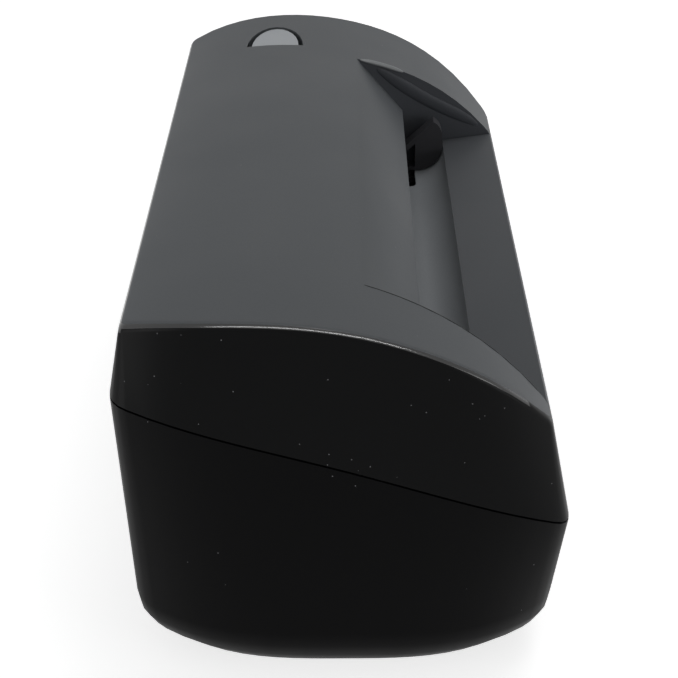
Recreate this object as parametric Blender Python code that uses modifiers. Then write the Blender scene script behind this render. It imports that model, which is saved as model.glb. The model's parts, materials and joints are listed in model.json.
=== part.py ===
"""A sheet-fed photo scanner with a hinged cover, built as separate solids.

Metres, +Z up, +X along the length. The feed side faces -Y. Places across the depth are given as a
front distance, which is zero on the middle plane and grows towards the feed side, so it is minus Y.
Heights of the outer form are drops below the top level, the height of the top surface at the middle.
"""
import math

import bmesh
import bpy
from mathutils import Matrix, Vector

# Clearances
GAP = 0.0003
SEAM_GAP = 0.0004
OVERRUN = 0.012

# Outer form: heights
FOOT_STAND = 0.0008
BODY_HEIGHT = 0.0756
BASE = FOOT_STAND
TOP_LEVEL = BASE + BODY_HEIGHT

# Outer form: side profile of the top surface and of the parting line
TOP_BACK_DROP = 0.0033
TOP_FRONT_DROP = 0.0232
TOP_BACK_REACH = 0.0114
TOP_FRONT_REACH = 0.0395
TOP_BACK_ANGLE = math.radians(28.0)
TOP_FRONT_ANGLE = math.radians(-53.7)
SEAM_BACK_DROP = 0.0155
SEAM_FRONT_DROP = 0.0419
SEAM_BACK_REACH = 0.0292
SEAM_FRONT_REACH = 0.0284
SEAM_BACK_ANGLE = math.radians(-11.7)
SEAM_FRONT_ANGLE = math.radians(-26.1)

# Outer form: plan outlines at the top edge, at the parting line and above the bottom round
SEAM_HALF = 0.0756
TOP_END_INSET = 0.0044
TOP_HALF = SEAM_HALF - TOP_END_INSET
TOP_BULGE = 0.0077
TOP_BACK = 0.0375
TOP_FRONT = 0.0374
TOP_CORNER_SHARE = 0.03
SEAM_BULGE = 0.0059
SEAM_BACK = 0.0395
SEAM_FRONT = 0.0409
SEAM_CORNER_SHARE = 0.083
LOW_END_INSET = 0.0053
LOW_HALF = SEAM_HALF - LOW_END_INSET
LOW_BULGE = 0.0109
LOW_BACK = 0.0391
LOW_FRONT = 0.0398
LOW_CORNER_SHARE = 0.105
END_POWER_SHARE = 3.27
BOTTOM_ROUND = 0.0132
EDGE_ROUND = 0.0013
WALL = 0.0020
TOP_SKIN = 0.0026
END_STEPS = 20
CORNER_STEPS = 4
EDGE_STEPS = 3
BOTTOM_STEPS = 6
INNER_STEPS = 3

# Feed bay: hood, lip and end walls
BEND_FRONT = 0.0038
LIP_FRONT = 0.01485
LIP_DROP = 0.0146
LEFT_MARGIN = 0.0146
RIGHT_MARGIN = 0.0246
BAY_LEFT = SEAM_HALF - LEFT_MARGIN
BAY_RIGHT = SEAM_HALF - RIGHT_MARGIN
BAY_SPLAY_SHARE = 0.15
BAY_WALL_DROP = 0.0320
RAIL_FRONT = 0.0349

# Feed tray: trough, scoop and deck
TRAY_BACK = 0.0125
TROUGH_DROP = 0.0287
SCOOP_FRONT = 0.0183
SCOOP_RADIUS = 0.0065
DECK_BACK_DROP = 0.0229
DECK_FRONT_DROP = 0.0222
DECK_FRONT = 0.0360
TRAY_THICKNESS = 0.0018
SKIRT_DROP = 0.0280
SKIRT_FRONT = RAIL_FRONT + GAP
SCOOP_STEPS = 9

# Edge guide and its track
TRACK_FRONT = 0.0164
TRACK_WIDTH = 0.0030
GUIDE_TRAVEL = 0.0096
TRACK_LENGTH = GUIDE_TRAVEL + TRACK_WIDTH
TRACK_PAST_BAY = 0.0008
TRACK_RIGHT = BAY_RIGHT + TRACK_PAST_BAY
TRACK_LEFT = TRACK_RIGHT - TRACK_LENGTH
FENCE_SHIFT = -0.0005
GUIDE_THICKNESS = 0.0035
GUIDE_CHORD_ANGLE = math.radians(42.0)
GUIDE_TIP_FRONT = 0.0039
GUIDE_TIP_RISE = 0.0063
GUIDE_NOSE_RISE = 0.0053
GUIDE_BLADE = 0.0013
GUIDE_HEEL_BACK = 0.0004
GUIDE_TOE_BACK = 0.0032
GUIDE_TOE_THICKNESS = 0.0008
GUIDE_NOSE_STEPS = 5
GUIDE_FOOT_HALF = 0.0017
GUIDE_FOOT_DEPTH = 0.0054
GUIDE_FOOT_THICKNESS = 0.0012

# Button
BUTTON_MARGIN = 0.0204
BUTTON_FLAT = SEAM_HALF - BUTTON_MARGIN
BUTTON_FRONT = -0.0157
BUTTON_HOLE_LENGTH = 0.0130
BUTTON_HOLE_HALF = 0.0067
BUTTON_CAP_LENGTH = 0.0124
BUTTON_CAP_HALF = 0.0056
BUTTON_SINK = 0.0003
BUTTON_TRAVEL = 0.0006
BUTTON_CAP_DROP = 0.0032
BUTTON_FLANGE = 0.0008
BUTTON_FLANGE_THICKNESS = 0.0012
BUTTON_STEM_RADIUS = 0.0020
BUTTON_STEM_OFFSET = 0.0055
WELL_WALL = 0.0012
WELL_DEPTH = 0.0080
WELL_ROOT = 0.0011
ARCH_STEPS = 12

# Hinge
HINGE_INSET = 0.0018
HINGE_RISE = 0.0040
KNUCKLE_RADIUS = 0.0016
KNUCKLE_CLEARANCE = 0.0004
KNUCKLE_WIDTH = 0.0040
COVER_KNUCKLE_WIDTH = 0.0060
HINGE_IN = 0.0276
HINGE_PLACE = SEAM_HALF - HINGE_IN
HINGE_PIN_RADIUS = 0.0007
TONGUE_DEPTH = 0.0030

# Paper path
PATH = TOP_LEVEL - TROUGH_DROP - 0.5 * TRAY_THICKNESS
NIP_GAP = 0.0004
BED_DROP = 0.0005
BED_THICKNESS = 0.0020
BED_FRONT = 0.0122
BED_BACK = 0.0352
GUIDE_RISE = 0.0012
EXIT_BELOW = 0.0022
EXIT_ABOVE = 0.0034
EXIT_MARGIN = 0.0030

# Drive rollers
FEED_FRONT = 0.0040
EXIT_FRONT = -0.0260
ROLL_RADIUS = 0.0060
ROLL_IN_LEFT = 0.0110
ROLL_IN_RIGHT = 0.0094
ROLL_LEFT = BAY_LEFT - ROLL_IN_LEFT
ROLL_RIGHT = BAY_RIGHT - ROLL_IN_RIGHT
SHAFT_RADIUS = 0.0020
SHAFT_END_LEFT = 0.0062
SHAFT_END_RIGHT = 0.0097
BUSH_RADIUS = 0.0034
BUSH_FLANGE_RADIUS = 0.0044
BUSH_FLANGE = 0.0010
ROLLER_SIDES = 24
SMALL_SIDES = 12

# Pinch rollers and the upper guide
PINCH_RADIUS = 0.0040
PINCH_JOURNAL = 0.0015
PINCH_OVER = 0.0014
PINCH_LEFT = ROLL_LEFT + PINCH_OVER
PINCH_RIGHT = ROLL_RIGHT + PINCH_OVER
CHEEK = 0.0020
CHEEK_RISE = 0.0062
CHEEK_FRONT = 0.0076
GUIDE_WING = 0.0078
GUIDE_PLATE_LEFT = PINCH_LEFT + GUIDE_WING
GUIDE_PLATE_RIGHT = PINCH_RIGHT + GUIDE_WING
FUNNEL_BACK = 0.0065
FUNNEL_FRONT = 0.0137
FUNNEL_DROP = 0.0190
BOSS_RADIUS = 0.0026
BOSS_FRONTS = (-0.0005, -0.0315)
SCREW_RADIUS = 0.0010
SCREW_HEAD_RADIUS = 0.0018
SCREW_HEAD = 0.0012
SCREW_LENGTH = 0.0060

# White platen over the sensor
PLATEN_HALF = 0.0057
PLATEN_FLANGE = 0.0016
PLATEN_FLANGE_THICKNESS = 0.0015
PLATEN_OVER = 0.0010
PLATEN_LEFT = ROLL_LEFT + PLATEN_OVER
PLATEN_RIGHT = ROLL_RIGHT + PLATEN_OVER
PLATEN_RISE = 0.0007

# Image sensor
SENSOR_FRONT = -0.0110
SENSOR_HALF = 0.0065
SENSOR_OVER = 0.0050
SENSOR_LEFT = PLATEN_LEFT + SENSOR_OVER
SENSOR_RIGHT = PLATEN_RIGHT + SENSOR_OVER
SENSOR_HEIGHT = 0.0090
GLASS_THICKNESS = 0.0010
GLASS_INSET = 0.0012
SPRING_RADIUS = 0.0024
SPRING_WIRE = 0.00035
SPRING_HEIGHT = 0.0060
SPRING_TURNS = 4
SPRING_POINTS = 8
SPRING_POST_RADIUS = 0.0015
SPRING_POST_HEIGHT = 0.0030
SPRING_INSET = 0.0040
RIBBON_WIDTH = 0.0100
RIBBON_THICKNESS = 0.0004
RIBBON_PLACE = 0.0100

# Chassis
SIDE_ROOM_LEFT = 0.0038
SIDE_ROOM_RIGHT = 0.0088
CHASSIS_LEFT = SENSOR_LEFT + SIDE_ROOM_LEFT
CHASSIS_RIGHT = SENSOR_RIGHT + SIDE_ROOM_RIGHT
SHAFT_LEFT = CHASSIS_LEFT + SHAFT_END_LEFT
SHAFT_RIGHT = CHASSIS_RIGHT + SHAFT_END_RIGHT
BED_LEFT = CHASSIS_LEFT - GAP
BED_RIGHT = CHASSIS_RIGHT - GAP
SIDE_THICKNESS = 0.0024
CHASSIS_FLOOR = 0.0020
CHASSIS_FRONT = 0.0136
CHASSIS_BACK = 0.0250
SIDE_FOOT_BACK = 0.0180
SIDE_BACK = 0.0312
SIDE_STEP_HEIGHT = 0.0070
SIDE_BEVEL = 0.0010
LEDGE_WIDTH = 0.0022
LEDGE_THICKNESS = 0.0023
SHELF_RISE = 0.0088
SHELF_FRONT = -0.0105
SHELF_BACK = 0.0225
SHELF_REACH = 0.0132
SHELF_RIGHT = CHASSIS_RIGHT + SHELF_REACH
SENSOR_LEDGE_OVER = 0.0032
SENSOR_LEDGE_HALF = 0.0045
SENSOR_LEDGE_THICKNESS = 0.0020

# Gears: module, teeth and places
MODULE = 0.0010
ROLL_TEETH = 16
IDLER_TEETH = 14
PINION_TEETH = 10
WHEEL_TEETH = 24
GEAR_OUT = 0.0044
GEAR_LEFT = CHASSIS_RIGHT + GEAR_OUT
GEAR_WIDTH = 0.0050
WHEEL_STEP = 0.0010
WHEEL_LEFT = GEAR_LEFT + GEAR_WIDTH + WHEEL_STEP
WHEEL_WIDTH = 0.0030
GEAR_PIN_RADIUS = 0.0015
GEAR_PIN_END = 0.0010
GEAR_PIN_RIGHT = WHEEL_LEFT + WHEEL_WIDTH + GEAR_PIN_END
REDUCTION_ANGLE = math.radians(-119.9)
MOTOR_ANGLE = math.radians(-60.0)
TOOTH_WIDTH_SHARE = 0.40
TOOTH_TIP_SHARE = 0.20
TOOTH_TIP_MODULES_SHARE = 0.95
TOOTH_ROOT_MODULES_SHARE = 1.25

# Motor
MOTOR_RADIUS = 0.0095
MOTOR_LENGTH = 0.0200
MOTOR_BOSS_RADIUS = 0.0030
MOTOR_BOSS = 0.0012
MOTOR_EAR_REACH = 0.0118
MOTOR_EAR_ANGLE = math.radians(-38.0)
MOTOR_EAR_THICKNESS = 0.0012
MOTOR_EAR_RADIUS = 0.0022
MOTOR_SHAFT_RADIUS = 0.0010

# Boards and electrical pieces
BOARD_THICKNESS = 0.0016
BOARD_IN = 0.0028
BOARD_HALF = CHASSIS_RIGHT - BOARD_IN
BOARD_BACK = 0.0340
BOARD_FRONT = -0.0085
BOARD_RISE = 0.0060
CASE_BOSS_IN = 0.0070
CASE_BOSS_PLACE = BOARD_HALF - CASE_BOSS_IN
CASE_BOSS_BACK = -0.0220
CASE_BOSS_FRONT = 0.0090
CASE_BOSS_MOTOR = 0.0148
CASE_BOSS_RIGHT = CHASSIS_RIGHT - MOTOR_LENGTH - CASE_BOSS_MOTOR
CASE_BOSS_RADIUS = 0.0030
CHIP_SIZE = 0.0120
CHIP_HEIGHT = 0.0014
CHIP_PLACE = 0.0080
SOCKET_IN = 0.0248
SOCKET_PLACE = SOCKET_IN - CHASSIS_LEFT
SOCKET_WIDTH = 0.0120
SOCKET_HEIGHT = 0.0110
SOCKET_DEPTH = 0.0150
SOCKET_WALL = 0.0016
SOCKET_MOUTH_DEPTH = 0.0115
SOCKET_RECESS = 0.0004
SWITCH_SIZE = 0.0060
SWITCH_HEIGHT = 0.0030
SWITCH_CAP_RADIUS = 0.0016
SWITCH_CAP_HEIGHT = 0.0012
PRESS_GAP = BUTTON_TRAVEL + 0.5 * GAP
BUTTON_BOARD_LENGTH = 0.0110
BUTTON_BOARD_DEPTH = 0.0100
BUTTON_BOARD_THICKNESS = 0.0012

# Paper flag and its sensor
FLAG_OUT = 0.0045
FLAG_PLACE = ROLL_RIGHT + FLAG_OUT
FLAG_FRONT = 0.0105
FLAG_DROP = 0.0060
FLAG_AXLE_RADIUS = 0.0008
FLAG_AXLE_LENGTH = 0.0070
FLAG_WIDTH = 0.0016
FLAG_ARM = 0.0012
FLAG_TAIL = 0.0085
FLAG_SWEEP = 0.0045
FLAG_EAR = 0.0012
FLAG_EAR_RADIUS = 0.0022
FLAG_TIP_RISE = 0.0006
OPTO_GAP = 0.0032
OPTO_WALL = 0.0016
OPTO_DEPTH = 0.0050
OPTO_HEIGHT = 0.0060

# Feet
FOOT_RADIUS = 0.0045
FOOT_THICKNESS = 0.0014
FOOT_IN = 0.0186
FOOT_PLACE = SEAM_HALF - FOOT_IN
FOOT_FRONT = 0.0185

MATERIALS = {
    "top_grey": ((0.10, 0.10, 0.105), 0.5, 0.0),
    "tray_grey": ((0.12, 0.12, 0.125), 0.45, 0.0),
    "black_plastic": ((0.012, 0.012, 0.013), 0.4, 0.0),
    "dark_plastic": ((0.03, 0.03, 0.032), 0.5, 0.0),
    "button_grey": ((0.62, 0.64, 0.66), 0.3, 0.0),
    "white_plastic": ((0.80, 0.80, 0.78), 0.5, 0.0),
    "gear_white": ((0.75, 0.74, 0.70), 0.4, 0.0),
    "rubber": ((0.02, 0.02, 0.02), 0.8, 0.0),
    "steel": ((0.60, 0.60, 0.62), 0.3, 1.0),
    "brass": ((0.60, 0.45, 0.20), 0.3, 1.0),
    "glass": ((0.80, 0.85, 0.85), 0.05, 0.0),
    "board_green": ((0.03, 0.20, 0.08), 0.5, 0.0),
    "motor_metal": ((0.50, 0.50, 0.52), 0.35, 1.0),
}


def clear_scene():
    for obj in list(bpy.data.objects):
        bpy.data.objects.remove(obj)


def new_collection(name):
    collection = bpy.data.collections.new(name)
    bpy.context.scene.collection.children.link(collection)
    return collection


def material(name):
    found = bpy.data.materials.get(name)
    if found:
        return found
    colour, roughness, metallic = MATERIALS[name]
    made = bpy.data.materials.new(name)
    made.use_nodes = True
    shader = made.node_tree.nodes["Principled BSDF"]
    shader.inputs["Base Color"].default_value = (*colour, 1)
    shader.inputs["Roughness"].default_value = roughness
    shader.inputs["Metallic"].default_value = metallic
    return made


clear_scene()
PARTS = new_collection("photo_scanner")
CUTTERS = new_collection("cutters")


def place(name, mesh, matrix=None):
    """A new object, kept as a cutter until it is made a part."""
    obj = bpy.data.objects.new(name, mesh)
    if matrix:
        obj.matrix_world = matrix
    obj.hide_render = True
    obj.display_type = "WIRE"
    CUTTERS.objects.link(obj)
    return obj


def part(obj, name, finish):
    """Make an object one of the scanner's pieces."""
    CUTTERS.objects.unlink(obj)
    PARTS.objects.link(obj)
    obj.name = name
    obj.hide_render = False
    obj.display_type = "TEXTURED"
    obj.data.materials.clear()
    obj.data.materials.append(material(finish))
    return obj


def round_off(obj, angle=math.radians(35)):
    obj.data.shade_smooth()
    obj.data.set_sharp_from_angle(angle=angle)
    return obj


def boolean(obj, other, operation):
    step = obj.modifiers.new(operation.lower(), "BOOLEAN")
    step.operation = operation
    step.object = other
    return obj


def cut(obj, *others):
    for other in others:
        boolean(obj, other, "DIFFERENCE")
    return obj


def join(obj, *others):
    for other in others:
        boolean(obj, other, "UNION")
    return obj


def box(name, low, high):
    """A block between two corners, each given as (x, front distance, height)."""
    (x0, s0, z0), (x1, s1, z1) = low, high
    mesh = bpy.data.meshes.new(name)
    shape = bmesh.new()
    bmesh.ops.create_cube(shape, size=1)
    size = Vector((x1 - x0, s1 - s0, z1 - z0))
    bmesh.ops.scale(shape, vec=size, verts=shape.verts)
    shape.to_mesh(mesh)
    shape.free()
    middle = Vector(((x0 + x1) / 2, -(s0 + s1) / 2, (z0 + z1) / 2))
    return place(name, mesh, Matrix.Translation(middle))


TURNS = {"X": Matrix.Rotation(math.pi / 2, 4, "Y"), "Z": Matrix.Identity(4)}


def rod(name, axis, x, s, z, radius, length, sides=SMALL_SIDES, far_radius=None):
    """A round bar that starts at a point and runs along +X or +Z."""
    mesh = bpy.data.meshes.new(name)
    shape = bmesh.new()
    ends = dict(radius1=radius, radius2=far_radius or radius, depth=length)
    bmesh.ops.create_cone(shape, cap_ends=True, segments=sides, **ends)
    shape.to_mesh(mesh)
    shape.free()
    step = Vector((length / 2, 0, 0)) if axis == "X" else Vector((0, 0, length / 2))
    place_at = Matrix.Translation(Vector((x, -s, z)) + step)
    return round_off(place(name, mesh, place_at @ TURNS[axis]))


def turned(name, profile, x, s, z, sides=ROLLER_SIDES):
    """A turned shape about a line along X. The profile is (radius, distance along X) points,
    from the far end back to the start."""
    mesh = bpy.data.meshes.new(name)
    points = [(radius, 0, along) for radius, along in profile]
    edges = [(i, i + 1) for i in range(len(points) - 1)]
    if profile[0][0] > 0:
        edges.append((len(points) - 1, 0))
    mesh.from_pydata(points, edges, [])
    obj = place(name, mesh, Matrix.Translation((x, -s, z)) @ TURNS["X"])
    spin = obj.modifiers.new("turn", "SCREW")
    spin.steps = sides
    spin.render_steps = sides
    spin.use_merge_vertices = True
    spin.merge_threshold = GAP / 100
    return obj


def tube(name, x, s, z, radius, bore, length, sides=ROLLER_SIDES):
    """A sleeve along X."""
    profile = [(radius, length), (radius, 0), (bore, 0), (bore, length)]
    return turned(name, profile, x, s, z, sides)


def circle(middle, radius, sides=SMALL_SIDES):
    a, b = middle
    turns = [2 * math.pi * i / sides for i in range(sides)]
    return [(a + radius * math.cos(t), b + radius * math.sin(t)) for t in turns]


def outline_solid(name, outlines, thickness, matrix):
    """Flat outlines filled and thickened, as a welded mesh. Inner outlines are holes."""
    curve = bpy.data.curves.new(name, "CURVE")
    curve.dimensions = "2D"
    curve.fill_mode = "BOTH"
    curve.extrude = thickness / 2
    for outline in outlines:
        spline = curve.splines.new("POLY")
        spline.points.add(len(outline) - 1)
        for point, (a, b) in zip(spline.points, outline):
            point.co = (a, b, 0, 1)
        spline.use_cyclic_u = True
    guide = bpy.data.objects.new(name, curve)
    CUTTERS.objects.link(guide)
    guide.matrix_world = matrix
    bpy.context.view_layer.update()
    graph = bpy.context.evaluated_depsgraph_get()
    mesh = bpy.data.meshes.new_from_object(guide.evaluated_get(graph))
    shape = bmesh.new()
    shape.from_mesh(mesh)
    bmesh.ops.remove_doubles(shape, verts=shape.verts, dist=GAP / 100)
    bmesh.ops.recalc_face_normals(shape, faces=shape.faces)
    shape.to_mesh(mesh)
    shape.free()
    obj = place(name, mesh, guide.matrix_world.copy())
    bpy.data.objects.remove(guide)
    return obj


# Local X, Y and Z of an outline become world Y, Z and X
SIDEWAYS = Matrix(((0, 0, 1, 0), (1, 0, 0, 0), (0, 1, 0, 0), (0, 0, 0, 1)))


def side_prism(name, outlines, x0, x1):
    """Outlines of (front distance, height) points, drawn along X."""
    turned_round = [[(-s, z) for s, z in outline] for outline in outlines]
    middle = Matrix.Translation(((x0 + x1) / 2, 0, 0))
    return outline_solid(name, turned_round, x1 - x0, middle @ SIDEWAYS)


def plan_prism(name, outlines, z0, z1):
    """Outlines of (x, front distance) points, drawn along Z."""
    turned_round = [[(x, -s) for x, s in outline] for outline in outlines]
    middle = Matrix.Translation((0, 0, (z0 + z1) / 2))
    return outline_solid(name, turned_round, z1 - z0, middle)


def bezier(points, t):
    """A point on a Bezier curve of any degree."""
    row = [Vector(p) for p in points]
    while len(row) > 1:
        row = [a.lerp(b, t) for a, b in zip(row, row[1:])]
    return row[0]


def profile_curve(back, front, back_drop, front_drop, angles, reaches):
    """Side profile as a cubic curve of (front distance, height) points."""
    start = Vector((-back, TOP_LEVEL - back_drop))
    end = Vector((front, TOP_LEVEL - front_drop))
    leave = Vector((math.cos(angles[0]), math.sin(angles[0]))) * reaches[0]
    arrive = Vector((math.cos(angles[1]), math.sin(angles[1]))) * reaches[1]
    return start, start + leave, end - arrive, end


TOP_CURVE = profile_curve(TOP_BACK, TOP_FRONT, TOP_BACK_DROP, TOP_FRONT_DROP,
                          (TOP_BACK_ANGLE, TOP_FRONT_ANGLE), (TOP_BACK_REACH, TOP_FRONT_REACH))
SEAM_CURVE = profile_curve(SEAM_BACK, SEAM_FRONT, SEAM_BACK_DROP, SEAM_FRONT_DROP,
                           (SEAM_BACK_ANGLE, SEAM_FRONT_ANGLE), (SEAM_BACK_REACH, SEAM_FRONT_REACH))


def height_on(curve, s):
    """Height of a side profile at a front distance."""
    low, high = 0.0, 1.0
    for _ in range(40):
        t = (low + high) / 2
        if bezier(curve, t).x < s:
            low = t
        else:
            high = t
    return bezier(curve, low).y


def top_height(s):
    return height_on(TOP_CURVE, s)


def seam_height(s):
    return height_on(SEAM_CURVE, s)


class Section:
    """The body's outline seen from above, at one level."""

    def __init__(self, half, bulge, back, front, corner_share):
        self.half = half
        self.bulge = bulge
        self.back = back
        self.front = front
        self.corner_share = corner_share

    def inset(self, amount):
        sides = self.half - amount, self.bulge, self.back - amount, self.front - amount
        return Section(*sides, self.corner_share)

    def reach(self, u):
        return self.half + self.bulge * (1 - abs(u) ** END_POWER_SHARE)

    def end(self):
        """(x, front distance) points round the +X end, from the back side to the front side."""
        depth = (self.back + self.front) / 2
        middle = (self.front - self.back) / 2
        straight = 1 - self.corner_share
        edge = self.reach(straight)
        slope = self.bulge * END_POWER_SHARE * straight ** (END_POWER_SHARE - 1)
        lean = slope * self.corner_share
        side = edge - lean - math.hypot(lean, self.corner_share * depth)
        knots = (side, 1), (edge - lean, 1), (edge, straight)
        corner = [bezier(knots, i / CORNER_STEPS) for i in range(CORNER_STEPS)]
        spread = [straight * (2 * i / END_STEPS - 1) for i in range(END_STEPS + 1)]
        points = [(p.x, -p.y) for p in corner]
        points += [(self.reach(u), u) for u in spread]
        points += [(p.x, p.y) for p in reversed(corner)]
        return [(x, u * depth + middle) for x, u in points]


TOP = Section(TOP_HALF, TOP_BULGE, TOP_BACK, TOP_FRONT, TOP_CORNER_SHARE)
SEAM = Section(SEAM_HALF, SEAM_BULGE, SEAM_BACK, SEAM_FRONT, SEAM_CORNER_SHARE)
LOW = Section(LOW_HALF, LOW_BULGE, LOW_BACK, LOW_FRONT, LOW_CORNER_SHARE)


def ring(section, height):
    half = [Vector((x, -s, height(s))) for x, s in section.end()]
    return half + [Vector((-p.x, p.y, p.z)) for p in reversed(half)]


def loft(name, rings):
    """A closed solid through rings of like points, with strips across its two ends."""
    shape = bmesh.new()
    rows = [[shape.verts.new(p) for p in points] for points in rings]
    count = len(rows[0])
    for low, high in zip(rows, rows[1:]):
        for i in range(count):
            j = (i + 1) % count
            shape.faces.new((low[i], low[j], high[j], high[i]))
    for row in (rows[0], rows[-1]):
        for i in range(count // 2 - 1):
            j = count - 1 - i
            shape.faces.new((row[i], row[i + 1], row[j - 1], row[j]))
    bmesh.ops.recalc_face_normals(shape, faces=shape.faces)
    mesh = bpy.data.meshes.new(name)
    shape.to_mesh(mesh)
    shape.free()
    return round_off(place(name, mesh))


def level(height):
    return lambda s: height


def above(surface, rise):
    return lambda s: surface(s) + rise


def cover_form(name, steps=EDGE_STEPS):
    """The outer form above the parting line, with its rounded top edge."""
    rings = [ring(SEAM, above(seam_height, SEAM_GAP / 2))]
    for i in range(steps + 1):
        turn = math.pi / 2 * i / steps
        section = TOP.inset(EDGE_ROUND * (1 - math.cos(turn)))
        rings.append(ring(section, above(top_height, EDGE_ROUND * (math.sin(turn) - 1))))
    return loft(name, rings)


def cover_hollow():
    inner = SEAM.inset(WALL)
    rings = [
        ring(inner, above(seam_height, -OVERRUN)),
        ring(inner, seam_height),
        ring(TOP.inset(WALL), above(top_height, -TOP_SKIN)),
    ]
    return loft("cover_hollow", rings)


def case_rings(inset, top_rise, steps):
    """Rings of the case from its rim down to its flat floor, set in by a wall thickness."""
    radius = BOTTOM_ROUND - inset
    rings = [ring(SEAM.inset(inset), above(seam_height, top_rise))]
    if inset:
        rings.append(ring(SEAM.inset(inset), seam_height))
    for i in range(steps + 1):
        turn = math.pi / 2 * i / steps
        section = LOW.inset(inset + radius * (1 - math.cos(turn)))
        rings.append(ring(section, level(BASE + BOTTOM_ROUND - radius * math.sin(turn))))
    return rings


HOOD = Vector((LIP_FRONT - BEND_FRONT, top_height(BEND_FRONT) - (TOP_LEVEL - LIP_DROP)))
HOOD_SLOPE = HOOD.y / HOOD.x
LIP_HEIGHT = TOP_LEVEL - LIP_DROP
HOOD_LIFT = WALL * math.hypot(1, HOOD_SLOPE)
BAY_FLOOR = TOP_LEVEL - BAY_WALL_DROP
TROUGH = TOP_LEVEL - TROUGH_DROP
SKIRT_FOOT = TOP_LEVEL - SKIRT_DROP
RAIL_TOP = SKIRT_FOOT - GAP
FORM_FRONT = SEAM_FRONT + OVERRUN
FORM_TOP = TOP_LEVEL + OVERRUN


def splayed(obj, left, right):
    """Slide the end faces of a prism along X so that they splay towards the front."""
    for vertex in obj.data.vertices:
        world = obj.matrix_world @ vertex.co
        lead = BAY_SPLAY_SHARE * (-world.y - BEND_FRONT)
        world.x = right + lead if world.x > 0 else -left - lead
        vertex.co = obj.matrix_world.inverted() @ world
    return obj


def bay_prism(name, outline, margin):
    obj = side_prism(name, [outline], -BAY_LEFT, BAY_RIGHT)
    return splayed(obj, BAY_LEFT + margin, BAY_RIGHT + margin)


def bay_outline(lift, floor):
    """The air of the feed bay, from the hood's face forward. lift lowers the hood's face."""
    lip = LIP_HEIGHT - lift
    rise = FORM_TOP - lip
    return [
        (LIP_FRONT - rise / HOOD_SLOPE, FORM_TOP),
        (LIP_FRONT, lip),
        (LIP_FRONT, floor),
        (RAIL_FRONT, floor),
        (RAIL_FRONT, RAIL_TOP),
        (FORM_FRONT, RAIL_TOP),
        (FORM_FRONT, FORM_TOP),
    ]


def bay_block_outline():
    """What the hollow leaves round the bay, for the hood, the end walls and the rail."""
    outline = bay_outline(HOOD_LIFT, BAY_FLOOR)
    return outline[:3] + [(FORM_FRONT, BAY_FLOOR), (FORM_FRONT, FORM_TOP)]


def arch(flat, front, length, half):
    """A half oval in plan: a straight side at -X and a round far end."""
    turns = [math.pi * i / ARCH_STEPS - math.pi / 2 for i in range(ARCH_STEPS + 1)]
    return [(flat + length * math.cos(t), front + half * math.sin(t)) for t in turns]


HINGE_FRONT = HINGE_INSET - SEAM_BACK
HINGE_HEIGHT = seam_height(-SEAM_BACK) + HINGE_RISE
HINGE_PLACES = (-HINGE_PLACE, HINGE_PLACE)
PIN_HOLE = HINGE_PIN_RADIUS + GAP


def knuckle(x, width, radius):
    return rod("knuckle", "X", x, HINGE_FRONT, HINGE_HEIGHT, radius, width)


def case_knuckles(x):
    """Start and width of the two outer knuckles of a hinge."""
    inner = COVER_KNUCKLE_WIDTH / 2 + GAP
    return (x - inner - KNUCKLE_WIDTH, x + inner)


def hinge_cover(cover):
    for x in HINGE_PLACES:
        reach = KNUCKLE_RADIUS + KNUCKLE_CLEARANCE
        for start in case_knuckles(x):
            low = start - GAP
            high = start + KNUCKLE_WIDTH + GAP
            cut(cover, knuckle(low, high - low, reach))
            foot = seam_height(-SEAM_BACK) - OVERRUN
            deep = (low, HINGE_FRONT - reach, foot)
            cut(cover, box("notch", deep, (high, HINGE_FRONT + reach, HINGE_HEIGHT)))
        half = COVER_KNUCKLE_WIDTH / 2
        join(cover, knuckle(x - half, COVER_KNUCKLE_WIDTH, KNUCKLE_RADIUS))
        cut(cover, knuckle(x - half - GAP, COVER_KNUCKLE_WIDTH + 2 * GAP, PIN_HOLE))


def hinge_case(case):
    rim = seam_height(-SEAM_BACK)
    for x in HINGE_PLACES:
        half = COVER_KNUCKLE_WIDTH / 2 + GAP
        reach = KNUCKLE_RADIUS + KNUCKLE_CLEARANCE
        cut(case, knuckle(x - half, 2 * half, reach))
        for start in case_knuckles(x):
            end = start + KNUCKLE_WIDTH
            root = (start, HINGE_FRONT - KNUCKLE_RADIUS + GAP, rim - TONGUE_DEPTH)
            top = (end, HINGE_FRONT + KNUCKLE_RADIUS - GAP, HINGE_HEIGHT)
            join(case, box("tongue", root, top))
            join(case, knuckle(start, KNUCKLE_WIDTH, KNUCKLE_RADIUS))
            cut(case, knuckle(start - GAP, KNUCKLE_WIDTH + 2 * GAP, PIN_HOLE))


EAR_LENGTH = 0.0080
EAR_THICKNESS = 0.0020
EAR_BACK = 0.0270
EAR_FRONT = 0.0340
EAR_TOP = TOP_LEVEL - DECK_BACK_DROP - 2 * TRAY_THICKNESS
GUIDE_TOP = PATH + GUIDE_RISE + BED_THICKNESS
GUIDE_SCREWS = [(x, s) for x in (-GUIDE_PLATE_LEFT + BOSS_RADIUS, GUIDE_PLATE_RIGHT - BOSS_RADIUS)
                for s in BOSS_FRONTS]

# The lower of the top surface's heights at the two sides of the button's hole
BUTTON_LEVEL = min(top_height(BUTTON_FRONT - BUTTON_HOLE_HALF), top_height(BUTTON_FRONT + BUTTON_HOLE_HALF))


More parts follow.
